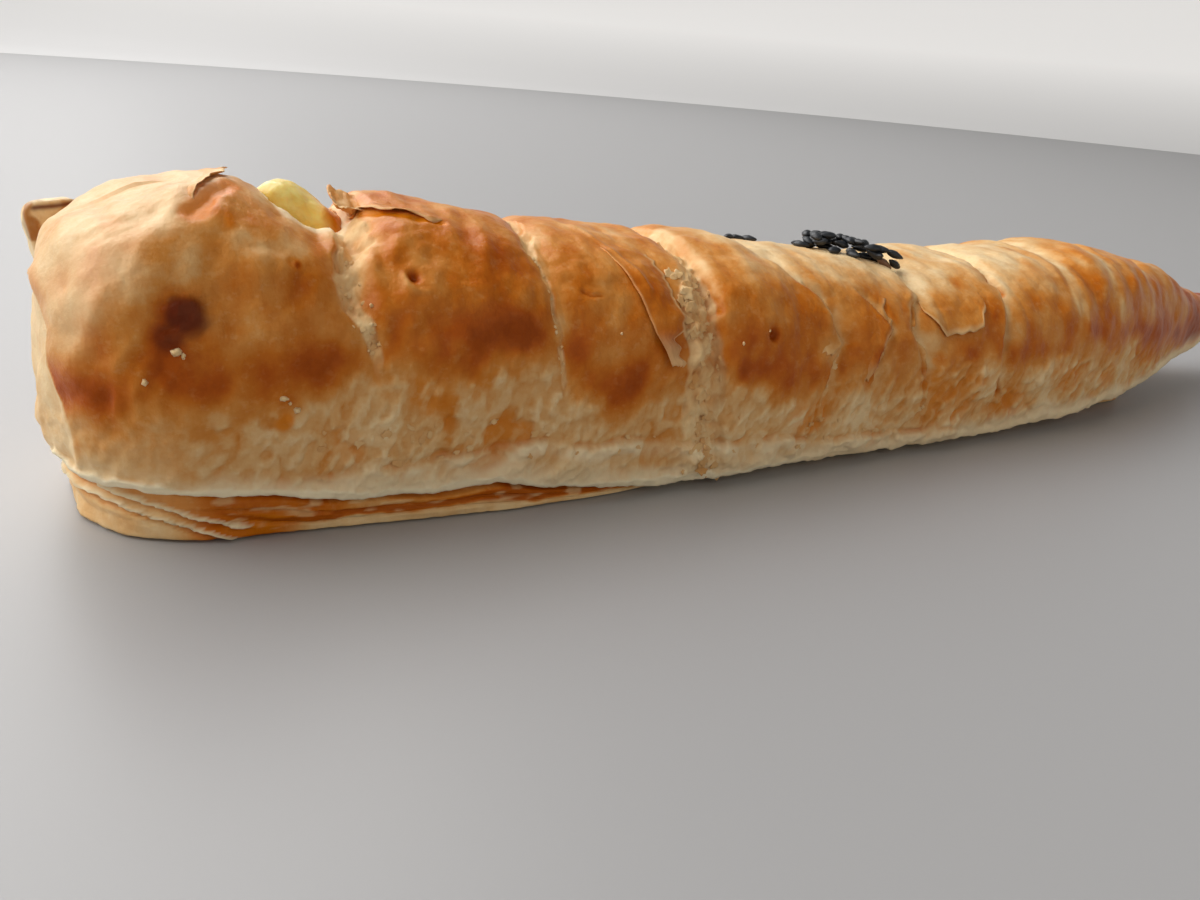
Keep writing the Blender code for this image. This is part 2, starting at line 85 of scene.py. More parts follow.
# Slashes over the top. line: (level, x) down the near side; trench: depth, sharp side, soft side, level where it
# runs out; ends: level where the bare crumb ends; left and right: (level, width) of bare crumb; pale: width of
# paler dough to each side
SLITS = (
    dict(
        line=((-1, -76.6), (0.2, -77.4), (0.4, -79.4), (0.6, -78.8), (0.7, -77.2), (1, -77.6)),
        trench=(1.6, 1.3, 1.8, 0.22), ends=0.12,
        left=((0.1, 0.3), (0.35, 0.8), (0.5, 1.1), (0.7, 2.0), (1, 2.4)),
        right=((0.1, 0.4), (0.4, 0.9), (0.6, 1.6), (1, 2.6)), pale=(1.8, 1.8),
    ),
    dict(
        line=((-0.2, -53.4), (0.25, -54.8), (0.5, -54.6), (0.65, -55.6), (1, -53.6)),
        trench=(0.75, 0.9, 2.2, 0.24), ends=0.1, left=((0, 0.0), (0.6, 0.05), (0.8, 0.5), (1, 0.45)),
        right=((0, 0.05), (0.6, 0.1), (0.75, 0.9), (1, 0.6)), pale=(0.8, 2.0),
    ),
    dict(
        line=((-1, -31.2), (-0.1, -31.6), (0.13, -31.0), (0.33, -31.4), (0.55, -30.9), (1, -30.2)),
        trench=(1.5, 2.2, 1.0, -0.70), ends=-1.2,
        left=((-1, 4.6), (-0.3, 5.0), (0.1, 5.6), (0.3, 5.6), (0.5, 4.9), (0.62, 2.6), (0.8, 1.2), (1, 0.9)),
        right=((-1, 2.4), (-0.3, 1.4), (0, 0.8), (1, 0.35)), pale=(1.6, 2.2),
    ),
    dict(
        line=((-0.1, -12.6), (0.17, -11.2), (0.27, -9.0), (0.37, -9.7), (0.53, -10.9), (0.62, -13.0), (1, -17.0)),
        trench=(0.9, 1.0, 2.6, 0.16), ends=0.0, left=((0, 0.1), (1, 0.2)), right=((0, 0.25), (1, 0.3)),
        pale=(1.2, 2.8),
    ),
    dict(
        line=((-0.5, 7.8), (-0.1, 8.6), (0.22, 7.0), (0.34, 5.8), (0.51, 8.0), (0.61, 10.6), (1, 13.0)),
        trench=(0.9, 0.9, 2.6, 0.05), ends=-0.45, left=((-0.5, 0.4), (1, 0.35)),
        right=((-0.5, 0.5), (0.45, 0.8), (1, 0.4)), pale=(1.4, 2.6),
    ),
    dict(
        line=((-0.1, 25.2), (0.15, 24.8), (0.35, 26.2), (0.54, 28.2), (0.62, 28.6), (1, 31.6)),
        trench=(1.2, 0.6, 1.5, -0.05), ends=-0.05, left=((0, 0.15), (0.6, 0.3), (1, 0.2)),
        right=((0, 0.2), (0.45, 0.5), (0.6, 1.4), (1, 0.4)), pale=(1.4, 3.4),
    ),
    dent(((0.1, 42.0), (0.3, 45.6), (0.44, 45.0), (0.6, 46.6), (1, 51.0)), 0.45, (1.6, 2.4)),
    dent(((0.2, 58.0), (0.45, 57.4), (0.65, 59.6), (1, 63.0)), 0.40, (1.4, 2.2)),
    dent(((0.2, 70.0), (0.6, 74.0), (1, 77.0)), 0.45, (1.2, 2.0)),
    dent(((0.2, 90.0), (1, 92.0)), 0.45, (1.2, 2.0)),
)

# Where egg-washed brown gives way to cream on the side: (x, height), and how deep the brown is along the stick
BROWN_EDGE = (
    (-112, 13.5), (-108, 13.0), (-104, 13.0), (-98, 15.0), (-92, 16.5), (-86, 16.0), (-80, 19.0), (-76, 20.0),
    (-70, 18.5), (-62, 20.0), (-54, 18.0), (-50, 12.0), (-45, 9.0), (-42, 14.0), (-39, 18.0), (-30, 15.5),
    (-26, 14.6), (-22, 13.5), (-19, 9.5), (-16, 13.0), (-12, 12.0), (-8, 13.0), (0, 13.2), (8, 12.8),
    (16, 13.4), (24, 13.0), (32, 12.6), (42, 13.6), (52, 12.0), (62, 12.8), (72, 10.0), (82, 9.0),
    (94, 7.0), (110, 6.0),
)
BROWN_DEPTH = (
    (-112, 0.48), (-104, 0.49), (-92, 0.48), (-80, 0.54), (-70, 0.60), (-56, 0.57), (-44, 0.55), (-28, 0.54),
    (-14, 0.47), (4, 0.42), (22, 0.43), (40, 0.49), (60, 0.50), (80, 0.56), (100, 0.66), (112, 0.80),
)


TABLE_SHIFTS = (-3.0, 0.0, 3.0)
MM_OVER_TOP, MM_BELOW = 34.0, 11.0  # about how far level 1 and level -1 are from the widest line


def table(rows, x):
    """A smoothed reading of (x, value) rows, everything in millimetres."""
    at = np.array([row[0] for row in rows], float)
    value = np.array([row[1] for row in rows], float)
    total = 0.0
    for shift in TABLE_SHIFTS:
        here = np.clip(np.asarray(x, float) + shift, at[0], at[-1])
        k = np.clip(np.searchsorted(at, here, side="right") - 1, 0, len(at) - 2)
        share = (here - at[k]) / (at[k + 1] - at[k])
        share = share * share * (3 - 2 * share) * 0.4 + share * 0.6
        total = total + value[k] + (value[k + 1] - value[k]) * share
    return total / len(TABLE_SHIFTS)


def line_at(rows, level):
    return np.interp(level, [row[0] for row in rows], [row[1] for row in rows])


def ease(low, high, value):
    share = np.clip((value - low) / (high - low), 0.0, 1.0)
    return share * share * (3 - 2 * share)


def towards(old, new, share):
    return old + (new - old) * share


def bump(distance, width):
    return np.exp(-((distance / width) ** 2))


def field(points, scale, seed=(0.0, 0.0, 0.0)):
    """Smooth noise, about -1 to 1. points are in mm, scale is in cycles per metre (one number or one per axis)."""
    at = points * MM * np.array(scale, float) + np.array(seed, float)
    return np.array([noise.noise(p) for p in at.tolist()])


def lip_edge(x):
    height = table(LIP, x)
    flat = np.zeros((len(x), 3))
    flat[:, 0] = x
    wave = field(flat, (95.0, 0.0, 0.0), (0.0, 0.0, 2.0))
    return height + LIP_WAVE * np.minimum(1.0, height / 4) * wave


def nose_share(x, y, spine):
    reach = np.abs(x - spine)
    return np.where(reach > 1e-6, reach / (reach + np.abs(y) + 1e-9), 0.0)


def smooth_shell(x, y, spine, level, wall=0.0, lip=None):
    """Level -1 is the lower edge, 0 the widest line and 1 the crest."""
    full = table(CREST, spine)
    crest = full - wall
    lip = lip_edge(x) if lip is None else lip
    end = nose_share(x, y, spine)
    belly = lip + (BELLY + (END_BELLY - BELLY) * end) * (full - lip)
    angle = np.clip(level, 0.0, 1.0) * math.pi / 2
    low_spread = 1 - (TUCK + (NOSE_TUCK - TUCK) * end) * np.abs(np.minimum(level, 0.0)) ** 3
    high_spread = np.where(level < 1, np.maximum(np.cos(angle), 0.0) ** (2 / SIDE_POWER), 0.0)
    spread = np.where(level <= 0, low_spread, high_spread)
    low_z = belly + level * (belly - lip)
    high_z = belly + (crest - belly) * np.maximum(np.sin(angle), 0.0) ** (2 / SIDE_POWER)
    z = np.where(level <= 0, low_z, high_z)
    return np.stack([spine + (x - spine) * spread, y * spread, z], 1), end


def puff_height(x):
    marks = [LEFT_X - 4] + [line_at(slit["line"], 1.0) for slit in SLITS] + [RIGHT_X + 4]
    rise = np.zeros_like(x)
    for a, b in zip(marks, marks[1:]):
        share = 2 * (x - a) / (b - a) - 1
        rise += np.where((x >= a) & (x < b), PUFF * min(1.0, (b - a) / 20) * (1 - np.abs(share) ** 3), 0.0)
    return rise


def slit_distance(slit, x, level, side):
    """Signed distance along the stick from a slash. On the far side the slash runs straighter."""
    centre = line_at(slit["line"], level)
    top = line_at(slit["line"], 1.0)
    return x - np.where(side < 0, centre, top + 0.5 * (top - centre))


def stroke_distance(x, reach, path):
    """Distance in mm from a path of (x, level) points, measured over the surface."""
    best = np.full(len(x), 1e9)
    for (x0, l0), (x1, l1) in zip(path, path[1:]):
        ax, au = x0, reach_of(l0)
        bx, bu = x1 - ax, reach_of(l1) - au
        share = np.clip(((x - ax) * bx + (reach - au) * bu) / (bx * bx + bu * bu + 1e-9), 0, 1)
        best = np.minimum(best, np.hypot(x - ax - share * bx, reach - au - share * bu))
    return best


def reach_of(level):
    """Millimetres over the surface from the widest line, about."""
    level = np.asarray(level)
    return level * np.where(level > 0, MM_OVER_TOP, MM_BELOW)


def terrace(value, count):
    """Turns a slope into flat steps with short risers."""
    scaled = value * count
    whole = np.floor(scaled)
    return (whole + ease(0.0, 0.25, scaled - whole)) / count


def dress(points, level, end, side):
    """Relief in mm beyond the smooth form, then browning, bare crumb, burn, oil and whiteness at these points.
    Browning carries some painted shade and sheen, oil a painted glow and whiteness some painted highlights.
    """
    x, y, z = points.T
    near = np.where(side < 0, 1.0, ease(0.82, 1.0, level))
    across = ease(-0.3, 0.6, level)
    on_side = 1 - ease(0.25, 0.6, end)
    rise = puff_height(x) * across

    leaning = points.copy()
    leaning[:, 0] -= 0.42 * z
    broad = field(points, 85.0)
    fine = field(points, 240.0, (3.7, 1.1, 8.2))
    rise += UNEVEN * (0.75 * broad + 0.35 * fine)
    jag = field(points, 620.0, (1.0, 5.0, 2.0))
    jag_wide = field(points, 260.0, (7.0, 3.0, 1.0))
    streak = field(leaning, (300.0, 70.0, 80.0), (0.0, 4.0, 9.0))
    streak_fine = field(leaning, (800.0, 170.0, 190.0), (4.0, 1.0, 6.0))
    blotch = field(points, 150.0, (9.0, 2.0, 5.0))
    blotch_wide = field(points, 62.0, (2.0, 6.0, 5.0))
    grain = field(points, 1150.0, (2.0, 8.0, 3.0))

    torn = np.zeros_like(x)
    pale = np.zeros_like(x)
    for number, slit in enumerate(SLITS):
        apart = slit_distance(slit, x, level, side)
        deep, sharp, soft, runs_out = slit["trench"]
        trench = deep * np.exp(-((apart / np.where(apart < 0, sharp, soft)) ** 2))
        trench *= 0.85 + 0.5 * jag_wide
        rise -= trench * ease(runs_out - 0.12, runs_out + 0.3, level) * (1 - ease(0.02, 0.3, end))
        wavy = apart + 0.8 * jag_wide + 0.5 * jag
        left = line_at(slit["left"], level)
        right = line_at(slit["right"], level)
        bare = ease(-left - 0.3, -left + 0.1, wavy) * (1 - ease(right - 0.1, right + 0.3, wavy))
        bare *= ease(slit["ends"] - 0.05, slit["ends"] + 0.12, level + 0.05 * jag_wide)
        bare *= np.minimum(1, (left + right) * 4)
        if number > 2:
            bare = bare * ease(-0.1, 0.2, jag_wide + 0.6 * blotch)
        torn = np.maximum(torn, bare * on_side)
        reach_left, reach_right = slit["pale"]
        soft_left, soft_right = bump(apart + left, reach_left * 0.6), bump(apart - right * 0.6, reach_right * 0.8)
        soft_edge = np.where(apart < 0, soft_left, soft_right)
        soft_edge = np.where((apart > -left) & (apart < right * 0.6), 1.0, soft_edge)
        soft_edge = soft_edge * ease(0.05, 0.35, level) * np.clip(0.75 + 0.9 * streak_fine + 0.5 * blotch, 0.1, 1.2)
        pale = np.maximum(pale, soft_edge * on_side)

    for line, (low_end, high_end), reach_right, drop in EDGES:
        apart = x - line_at(line, level) + 0.7 * jag_wide + 0.45 * jag
        here = near * ease(low_end - 0.04, low_end + 0.06, level)
        here = here * (1 - ease(high_end - 0.06, high_end + 0.06, level))
        right_of = ease(-0.12, 0.12, apart)
        rise += here * (1 - right_of) * 0.30 * bump(apart, 2.2)
        rise -= here * right_of * drop * bump(apart, 2.4)
        beyond = np.clip(1.1 - np.maximum(apart, 0) / reach_right + 0.6 * blotch + 0.4 * jag_wide, 0, 1)
        pale = np.maximum(pale, 1.1 * here * right_of * ease(0.0, 0.8, beyond))
        torn = np.maximum(torn, 0.6 * here * right_of * bump(apart - 0.4, 0.6) * ease(-0.15, 0.15, jag_wide))

    # the skin stands a little proud of the bare crumb
    rise -= 0.34 * torn
    scales = terrace(field(leaning, (380.0, 230.0, 280.0), (4.0, 4.0, 1.0)) + 0.35 * jag, 4)
    rise += torn * (0.85 * scales + 0.14 * grain)
    crumb_tone = np.clip(0.76 + 0.8 * scales + 0.25 * jag, 0.3, 1.0)
    slit3 = slit_distance(SLITS[2], x, level, side)
    flaky = torn * bump(slit3 + 2.2, 4.0)
    sheets = terrace(field(leaning, (210.0, 120.0, 170.0), (0.0, 7.0, 4.0)) + 0.3 * jag_wide + 0.2 * jag, 3)
    rise += flaky * 1.1 * sheets

    # the lower side: thin torn layers over each other, leaning with the stretch of the dough
    edge_z = table(BROWN_EDGE, x)
    blunt = 1 - ease(-101, -94, x)
    below = (1 - ease(-2.0, 3.5, z - edge_z)) * (1 - 0.75 * blunt)
    layers = terrace(field(leaning, (150.0, 75.0, 100.0), (3.0, 3.0, 8.0)) + 0.34 * jag_wide + 0.2 * jag, 3)
    scale_one = field(leaning, (470.0, 260.0, 330.0), (8.0, 1.0, 3.0)) + 0.35 * jag
    scale_two = field(leaning, (1000.0, 600.0, 760.0), (2.0, 7.0, 3.0))
    flecks = ease(0.02, 0.16, scale_one) * 0.55 + ease(0.05, 0.22, scale_two) * 0.45
    rise += below * (0.60 * layers + 0.34 * flecks - 0.14)

    # a torn ledge of cream dough runs along the foot of the near side
    ledge = table(LEDGE, x) + 0.7 * jag_wide + 0.5 * jag + 0.25 * grain
    ledge = ledge + 1.1 * field(points * (1, 0, 0), 130.0, (0, 0, 5.0))
    ledge_here = near * ease(-88, -80, x) * (1 - ease(10, 22, x))
    ledge_here = ledge_here * (0.35 + 0.65 * ease(-0.25, 0.1, fine + 0.5 * jag_wide))
    under_ledge = 1 - ease(-0.2, 0.12, z - ledge)
    rise += ledge_here * (0.55 * under_ledge - 0.40 * bump(z - ledge - 0.35, 0.4))
    rise += 0.045 * grain + 0.09 * jag * (0.4 + below)
    lump = field(points, (300.0, 170.0, 270.0), (2.0, 2.0, 6.0))
    swept = points @ SWEEP
    wrinkle_fine = field(swept, (520.0, 170.0, 170.0), (5.0, 2.0, 1.0))
    closer = 1.6 - 0.6 * ease(-80, -40, x)
    rise += (1 - below) * closer * (0.20 * lump + 0.16 * wrinkle_fine + 0.05 * jag)

    # the first puff has a ridge between its flat left face and its near face
    facet = (points - RIDGE_AT) @ RIDGE_NORMAL + 1.2 * fine
    on_puff = (1 - ease(-90, -84, x)) * ease(0.05, 0.3, level) * near
    rise += on_puff * (0.85 * bump(facet, 3.8) - 0.5 * bump(facet + 8.5, 5.0) - 0.35 * bump(facet - 6.0, 4.0))
    wrinkle = field(points @ WRINKLE_TURN, (420.0, 120.0, 120.0), (6.0, 2.0, 1.0))
    left_face = (1 - ease(-2.6, 2.0, facet + 1.6 * jag_wide)) * (1 - ease(-92, -86, x))
    fold = field(points @ WRINKLE_TURN, (230.0, 60.0, 60.0), (1.0, 5.0, 1.0))
    rise += (0.26 * wrinkle + 0.42 * fold) * left_face
    lean = x - 9.0 * level
    ripple = np.sin(lean * 1.15 + 2.2 * blotch + 1.5 * blotch_wide) * ease(30, 44, x) * (1 - ease(86, 98, x))
    ripple = ripple * ease(0.05, 0.3, level) * (0.6 + 0.5 * fine)
    rise += 0.16 * ripple

    # below it the cut end shows, a little behind the skin
    behind = -np.abs(y) - line_at(END_EDGE, z) + 0.5 * jag_wide + 0.25 * jag
    end_face = ease(-0.22, 0.22, behind) * (x < -100)
    rise -= 0.55 * end_face * ease(0, 1.5, behind)
    rise += 0.3 * end_face * field(points, (200.0, 200.0, 60.0), (5.0, 5.0, 5.0))

    # browning, with some painted shade and sheen
    lobes = field(points * (1, 0, 0), 85.0, (0.0, 3.0, 3.0))
    edge = edge_z + 2.4 * lobes + 2.4 * blotch + 1.6 * jag_wide + 0.9 * jag
    edge = edge + (1 - near) * (1.0 + 2.0 * blotch)
    crown = ease(-3.0 - 3.6 * blunt, 2.6 + 2.4 * blunt, z - edge)
    side_tone = 0.32 + 0.14 * blotch + 0.12 * blotch_wide + 0.06 * jag_wide - 0.20 * layers - 0.22 * flecks
    side_tone = towards(side_tone, 0.20 + 0.05 * blotch, blunt)
    foot = ledge_here * under_ledge
    side_tone = side_tone * (1 - 0.75 * foot) + 0.04 * foot
    # painted shade: the crevice just above the ledge is painted darker
    side_tone = side_tone + 0.14 * ledge_here * bump(z - ledge - 0.35, 0.35)
    depth = table(BROWN_DEPTH, x) + 0.13 * blotch + 0.08 * fine + 0.10 * blotch_wide + 0.05 * jag_wide
    # the puff tops are painted paler here: a painted reflection of the bright background on the crests
    painted_top_sheen = 0.07 + 0.30 * ease(-34, -14, x) * (1 - 0.6 * ease(30, 60, x))
    depth = depth - painted_top_sheen * ease(0.45, 0.9, level) + 0.05 * streak * ease(-40, -10, x)
    depth = depth - 0.12 * lump - 0.10 * wrinkle_fine - 0.06 * (1 - ease(-84, -76, x))
    bake = towards(side_tone, depth, crown)
    # the first puff's flat left face is painted paler high up: a painted sheen where it faces the light
    bake += 0.06 * ripple - 0.13 * left_face * crown * ease(18, 26, z)
    for at_x, at_z, wide, tall, deeper in DEEP_BANDS:
        here = bump(np.hypot((x - at_x) / wide, (z - at_z) / tall) * (1 + 0.35 * blotch), 1.0) * near
        bake += deeper * here
    bake += (0.05 + 0.17 * ease(-0.15, 0.25, blotch)) * crown * near * bump(z - edge_z - 4.0, 3.6)
    bake -= 0.30 * pale * crown
    lip = lip_edge(x)
    lip_band = (1 - ease(0.8, 2.8 + 2.2 * blunt, z - lip + 0.9 * jag_wide)) * near
    bake = bake * (1 - 0.9 * lip_band) + 0.02 * lip_band
    bake = towards(bake, 0.06 + 0.05 * blotch, end_face)
    tip = ease(82, 104, x)
    bake += 0.16 * tip * ease(5, 11, z) + 0.4 * ease(102, 111, x) * ease(0.05, 0.35, blotch + fine)
    bake = np.clip(bake, 0.02, 1.0)

    burn = np.zeros_like(x)
    oil = np.clip(0.45 * ease(0.12, 0.4, blotch) * below * (1 - flecks) * (1 - foot), 0, 1)
    # the lip's hem stands proud and is pale torn dough; it and the band just above the lip are also painted whiter, a
    # painted highlight where the lip catches light
    hem = near * (1 - ease(0.9, 1.3, z - lip + 0.7 * jag_wide + 0.4 * jag)) * (1 - 0.7 * ease(-25, 0, x))
    rise += 0.55 * hem
    torn = np.maximum(torn * crumb_tone, 0.9 * hem)
    white = np.maximum(0.85 * hem, 0.45 * near * (1 - ease(1.0, 4.0, z - lip + 1.5 * jag_wide)) * (1 - blunt))
    # the same left face is also painted whiter: painted sheen
    white = np.maximum(white, 0.20 * left_face * ease(18, 28, z))
    # painted highlight: the upper edge of the proud band below the ledge is painted whiter
    white = np.maximum(white, 0.5 * near * bump(z - ledge + 1.0, 1.0) * ledge_here)
    # pits with deep relief are also painted darker here: painted shade in their hollows
    for at_x, at_z, size, deep, mark, out in SPOTS:
        away = np.hypot(x - at_x, (z - at_z) * 1.05) * (1 + 0.5 * jag_wide + 0.25 * jag)
        here = bump(away, size) * near * (y < -4) * (np.abs(x - at_x) < 12)
        rise += out * here
        if mark == "burn":
            charred = ease(0.05, 0.78, here + 0.50 * jag_wide + 0.34 * jag) * ease(0.02, 0.12, here)
            burn = np.maximum(burn, deep * charred)
            bake = bake + 0.4 * here
            rise += (0.25 * grain + 0.2 * jag) * ease(0.2, 0.5, here)
        elif mark == "bake":
            bake = bake + deep * here
        elif mark == "oil":
            oil = np.maximum(oil, 0.8 * deep * ease(0.3, 0.7, here))
            bake = bake + 0.45 * deep * here
    reach = reach_of(level)
    for path, wide, out, darker, oily, bare in STROKES:
        here = bump(stroke_distance(x, reach, path) * (1 + 0.5 * jag_wide + 0.3 * jag), wide) * near
        here = here * np.where(bare > 0, ease(-0.35, 0.05, jag_wide), 1.0)
        rise += out * here
        bake = bake + darker * here
        oil = np.maximum(oil, oily * ease(0.06, 0.40, here))
        torn = np.maximum(torn, bare * ease(0.2, 0.7, here))
    return rise, np.clip(bake, 0, 1), torn, np.clip(burn, 0, 1), np.clip(oil, 0, 1), np.clip(white, 0, 1)


# The first puff's ridge: a point on it and the direction square to it, towards the near face
RIDGE_AT, RIDGE_NORMAL = np.array((-90.5, -5.4, 37.8)), np.array((0.780, -0.500, -0.376))

# Turns that make wrinkles lean with the stretch of the skin
SWEEP = np.array(((0.86, 0.0, 0.50), (0.0, 1.0, 0.0), (-0.50, 0.0, 0.86)))
WRINKLE_TURN = np.array(((0.80, 0.0, 0.60), (0.0, 1.0, 0.0), (-0.60, 0.0, 0.80)))

# (height, y) of the skin's edge at the blunt end
END_EDGE = ((8, -14.0), (11.7, -14.7), (16.3, -14.3), (20, -12.2), (23.7, -12.0), (27, -6.0), (29, 2.0))

# Darker browning low on the puffs: x, height, half width, half height, how much
DEEP_BANDS = (
    (-107.5, 18.2, 5.5, 2.4, 0.34), (-104.0, 21.0, 5.0, 3.0, 0.12), (-88.6, 19.2, 5.4, 3.2, 0.32),
    (-96.5, 22.5, 5.0, 3.4, 0.10), (-101.0, 22.5, 3.0, 2.4, 0.10), (-68.0, 22.0, 6.5, 3.6, 0.14),
    (-58.5, 22.5, 2.4, 3.4, 0.12), (-49.0, 15.5, 3.2, 6.0, -0.04), (-69.5, 16.0, 1.6, 4.0, 0.14),
    (-27.0, 17.5, 3.0, 4.0, 0.12), (-20.5, 15.5, 2.4, 6.0, 0.18), (-14.5, 17.0, 1.8, 4.0, 0.14),
    (-5.5, 16.0, 3.0, 4.0, 0.16), (3.5, 15.5, 2.4, 5.0, 0.14), (18.0, 15.0, 4.0, 3.0, 0.14),
    (33.0, 15.0, 3.0, 4.0, 0.08),
)

# The foot ledge's height along the near side
LEDGE = (
    (-88, 5.4), (-80, 7.2), (-72, 8.2), (-58, 8.6), (-49, 8.4), (-42, 7.8), (-36, 6.8), (-32, 5.6), (-29, 7.4),
    (-25, 6.4), (-15, 5.0), (-4, 3.8), (6, 3.4), (18, 3.0),
)

# Torn edges of skin that overlap the paler dough to their right: line (level, x), levels, pale reach, drop
EDGES = (
    (((0.0, -13.0), (0.17, -11.2), (0.27, -8.8), (0.37, -10.1), (0.45, -10.4), (0.54, -11.0), (0.62, -13.0)),
     (0.0, 0.6), 2.2, 0.65),
    (((0.05, -3.4), (0.19, -2.2), (0.34, 0.9), (0.48, -1.3), (0.6, -3.5)), (0.04, 0.56), 2.0, 0.6),
    (((-0.3, 8.0), (-0.1, 9.0), (0.22, 7.7), (0.34, 6.0), (0.51, 8.3), (0.61, 10.6)), (-0.35, 0.6), 2.2, 0.5),
    (((-0.1, 25.2), (0.15, 24.8), (0.35, 26.2), (0.54, 28.2), (0.62, 28.6)), (-0.1, 0.6), 2.2, 0.5),
)

# Creases, cracks and welts: path of (x, level), width, relief, darkening, oil, bare crumb. Sunk creases and cracks
# are painted darker, a painted shade, and raised welts paler, a painted highlight.
STROKES = (
    (((-94.9, 0.68), (-93.4, 0.74), (-91.9, 0.81), (-90.2, 0.88)), 1.0, -0.6, 0.6, 1.4, 0.0),
    (((-55.8, 0.72), (-55.3, 0.58), (-54.4, 0.48), (-54.9, 0.36), (-54.5, 0.23), (-54.0, 0.08)),
     0.35, -0.4, 0.0, 0.0, 0.9),
    (((-50.2, 0.475), (-49.2, 0.455), (-48.0, 0.46)), 0.35, -0.35, 0.16, 0.0, 0.0),
    (((-71.4, 0.57), (-70.0, 0.53), (-69.6, 0.48), (-70.1, 0.43)), 0.8, 0.2, -0.04, 0.0, 0.0),
    (((-73.1, 0.47), (-73.0, 0.42), (-72.2, 0.395), (-70.8, 0.39)), 0.45, 0.26, -0.14, 0.0, 0.0),
    (((-70.0, 0.56), (-63.2, 0.53), (-57.5, 0.55)), 3.2, -0.5, 0.05, 0.0, 0.0),
    (((-66.5, 0.42), (-62.0, 0.43), (-58.0, 0.45)), 3.0, 0.25, -0.04, 0.0, 0.0),
    (((-53.5, 0.53), (-50.0, 0.50), (-46.1, 0.52)), 1.6, -0.2, 0.03, 0.0, 0.0),
    # the orange strip under the second puff's flap is a painted glow of light through the thin flap
    (((-74.9, 0.905), (-73.0, 0.835), (-71.0, 0.80), (-68.5, 0.775), (-66.3, 0.765)), 0.55, -0.35, 0.0, 1.0, 0.0),
    (((26.3, 0.36), (25.2, 0.24), (24.8, 0.14), (25.2, -0.03), (26.2, -0.14)), 0.38, -0.9, 0.42, 0.0, 0.0),
    (((-100.7, 0.14), (-102.4, 0.05), (-102.3, -0.03), (-101.0, -0.12)), 0.45, 0.22, -0.10, 0.0, 0.0),
    (((-101.4, 0.21), (-103.8, 0.12), (-104.4, 0.0), (-103.2, -0.16)), 0.5, 0.20, -0.08, 0.0, 0.0),
    (((-99.2, 0.08), (-100.4, 0.03), (-100.2, -0.04)), 0.4, 0.16, -0.06, 0.0, 0.0),
    (((-31.3, 0.55), (-31.0, 0.49), (-31.4, 0.40)), 0.5, -0.6, 0.0, 0.8, 0.0),
    (((-12.5, 0.60), (-10.8, 0.53), (-9.9, 0.45), (-8.8, 0.28)), 0.5, -0.35, 0.10, 0.0, 0.0),
    (((1.4, 0.48), (0.8, 0.36), (-1.6, 0.22), (-3.6, 0.06)), 0.5, -0.30, 0.10, 0.0, 0.0),
    (((8.4, 0.52), (6.0, 0.38), (6.4, 0.25), (8.2, 0.05), (8.4, -0.3)), 0.4, -0.45, 0.10, 0.0, 0.0),
    (((27.6, 0.64), (29.0, 0.56)), 0.7, -0.7, 0.0, 1.0, 0.0),
    (((-45.5, 0.95), (-42.6, 0.68), (-41.0, 0.50)), 0.6, 0.3, -0.05, 0.0, 0.0),
)

# Small marks on the near side: x, height, size, strength, kind, relief. The deep pits (relief about -1) are painted
# darker inside, a painted shade.
SPOTS = (
    (-97.0, 26.6, 2.2, 0.95, "burn", 0.6), (-98.8, 24.4, 1.5, 0.70, "burn", 0.1),
    (-99.3, 24.2, 2.2, 0.26, "bake", 0.1),
    (-87.9, 14.4, 1.2, 0.9, "oil", -0.15),
    (-71.9, 29.5, 0.72, 0.7, "bake", -1.2),
    (-102.9, 34.1, 0.9, 0.3, "oil", -0.2), (-92.4, 35.2, 0.5, 0.5, "oil", 0.1),
    (-91.3, 34.5, 0.6, 0.5, "oil", 0.15), (-85.6, 30.6, 0.5, 0.5, "oil", -0.2),
    (-84.9, 30.3, 0.35, 0.6, "bake", -0.1), (-110.8, 27.4, 1.4, 0.3, "oil", 0.4),
    (-60.3, 22.3, 1.5, 0.30, "bake", 0.1),
    (-53.0, 20.4, 1.6, 0.24, "bake", 0.0),
    (-22.1, 20.9, 0.7, 0.5, "bake", -1.1),
    (-27.8, 16.6, 1.6, 0.24, "bake", 0.0),
    (-24.0, 16.4, 1.3, 0.24, "bake", 0.0),
    (-31.2, 26.8, 0.75, 1.0, "oil", -1.1), (-30.6, 25.4, 0.7, 1.0, "oil", -1.0), (-30.3, 24.2, 0.5, 0.9, "oil", -0.8),
    (-2.6, 15.6, 1.8, 0.26, "bake", 0.0),
    (16.5, 15.4, 2.0, 0.24, "bake", 0.0),
    (28.6, 24.6, 0.9, 0.9, "oil", -0.8),
)


def outside(x, y, spine, level, side):
    """Points of the crust's outside, and its colour fields."""
    smooth, end = smooth_shell(x, y, spine, level)
    centre = np.stack([spine, 0 * spine, BELLY * table(CREST, spine)], 1)
    away = smooth - centre
    away[:, 2] = np.maximum(away[:, 2], 0.0)
    away /= np.maximum(np.linalg.norm(away, axis=1), 1e-9)[:, None]
    rise, bake, torn, burn, oil, white = dress(smooth, level, end, side)
    low = ease(-1.0, -0.8, level)
    push = rise * (0.35 + 0.65 * low)
    placed = smooth + away * push[:, None]
    foot = smooth * (1.0, 1.0, 0.0)
    ragged = 0.15 + 0.36 * field(foot, 330.0, (3.0, 3.0, 7.0)) + 0.18 * field(foot, 900.0, (3.0, 9.0, 7.0))
    placed[:, 2] += ragged * (1 - low)
    return placed, dict(bake=bake, torn=torn, burn=burn, oil=oil, white=white), away


# ---------------------------------------------------------------- meshes

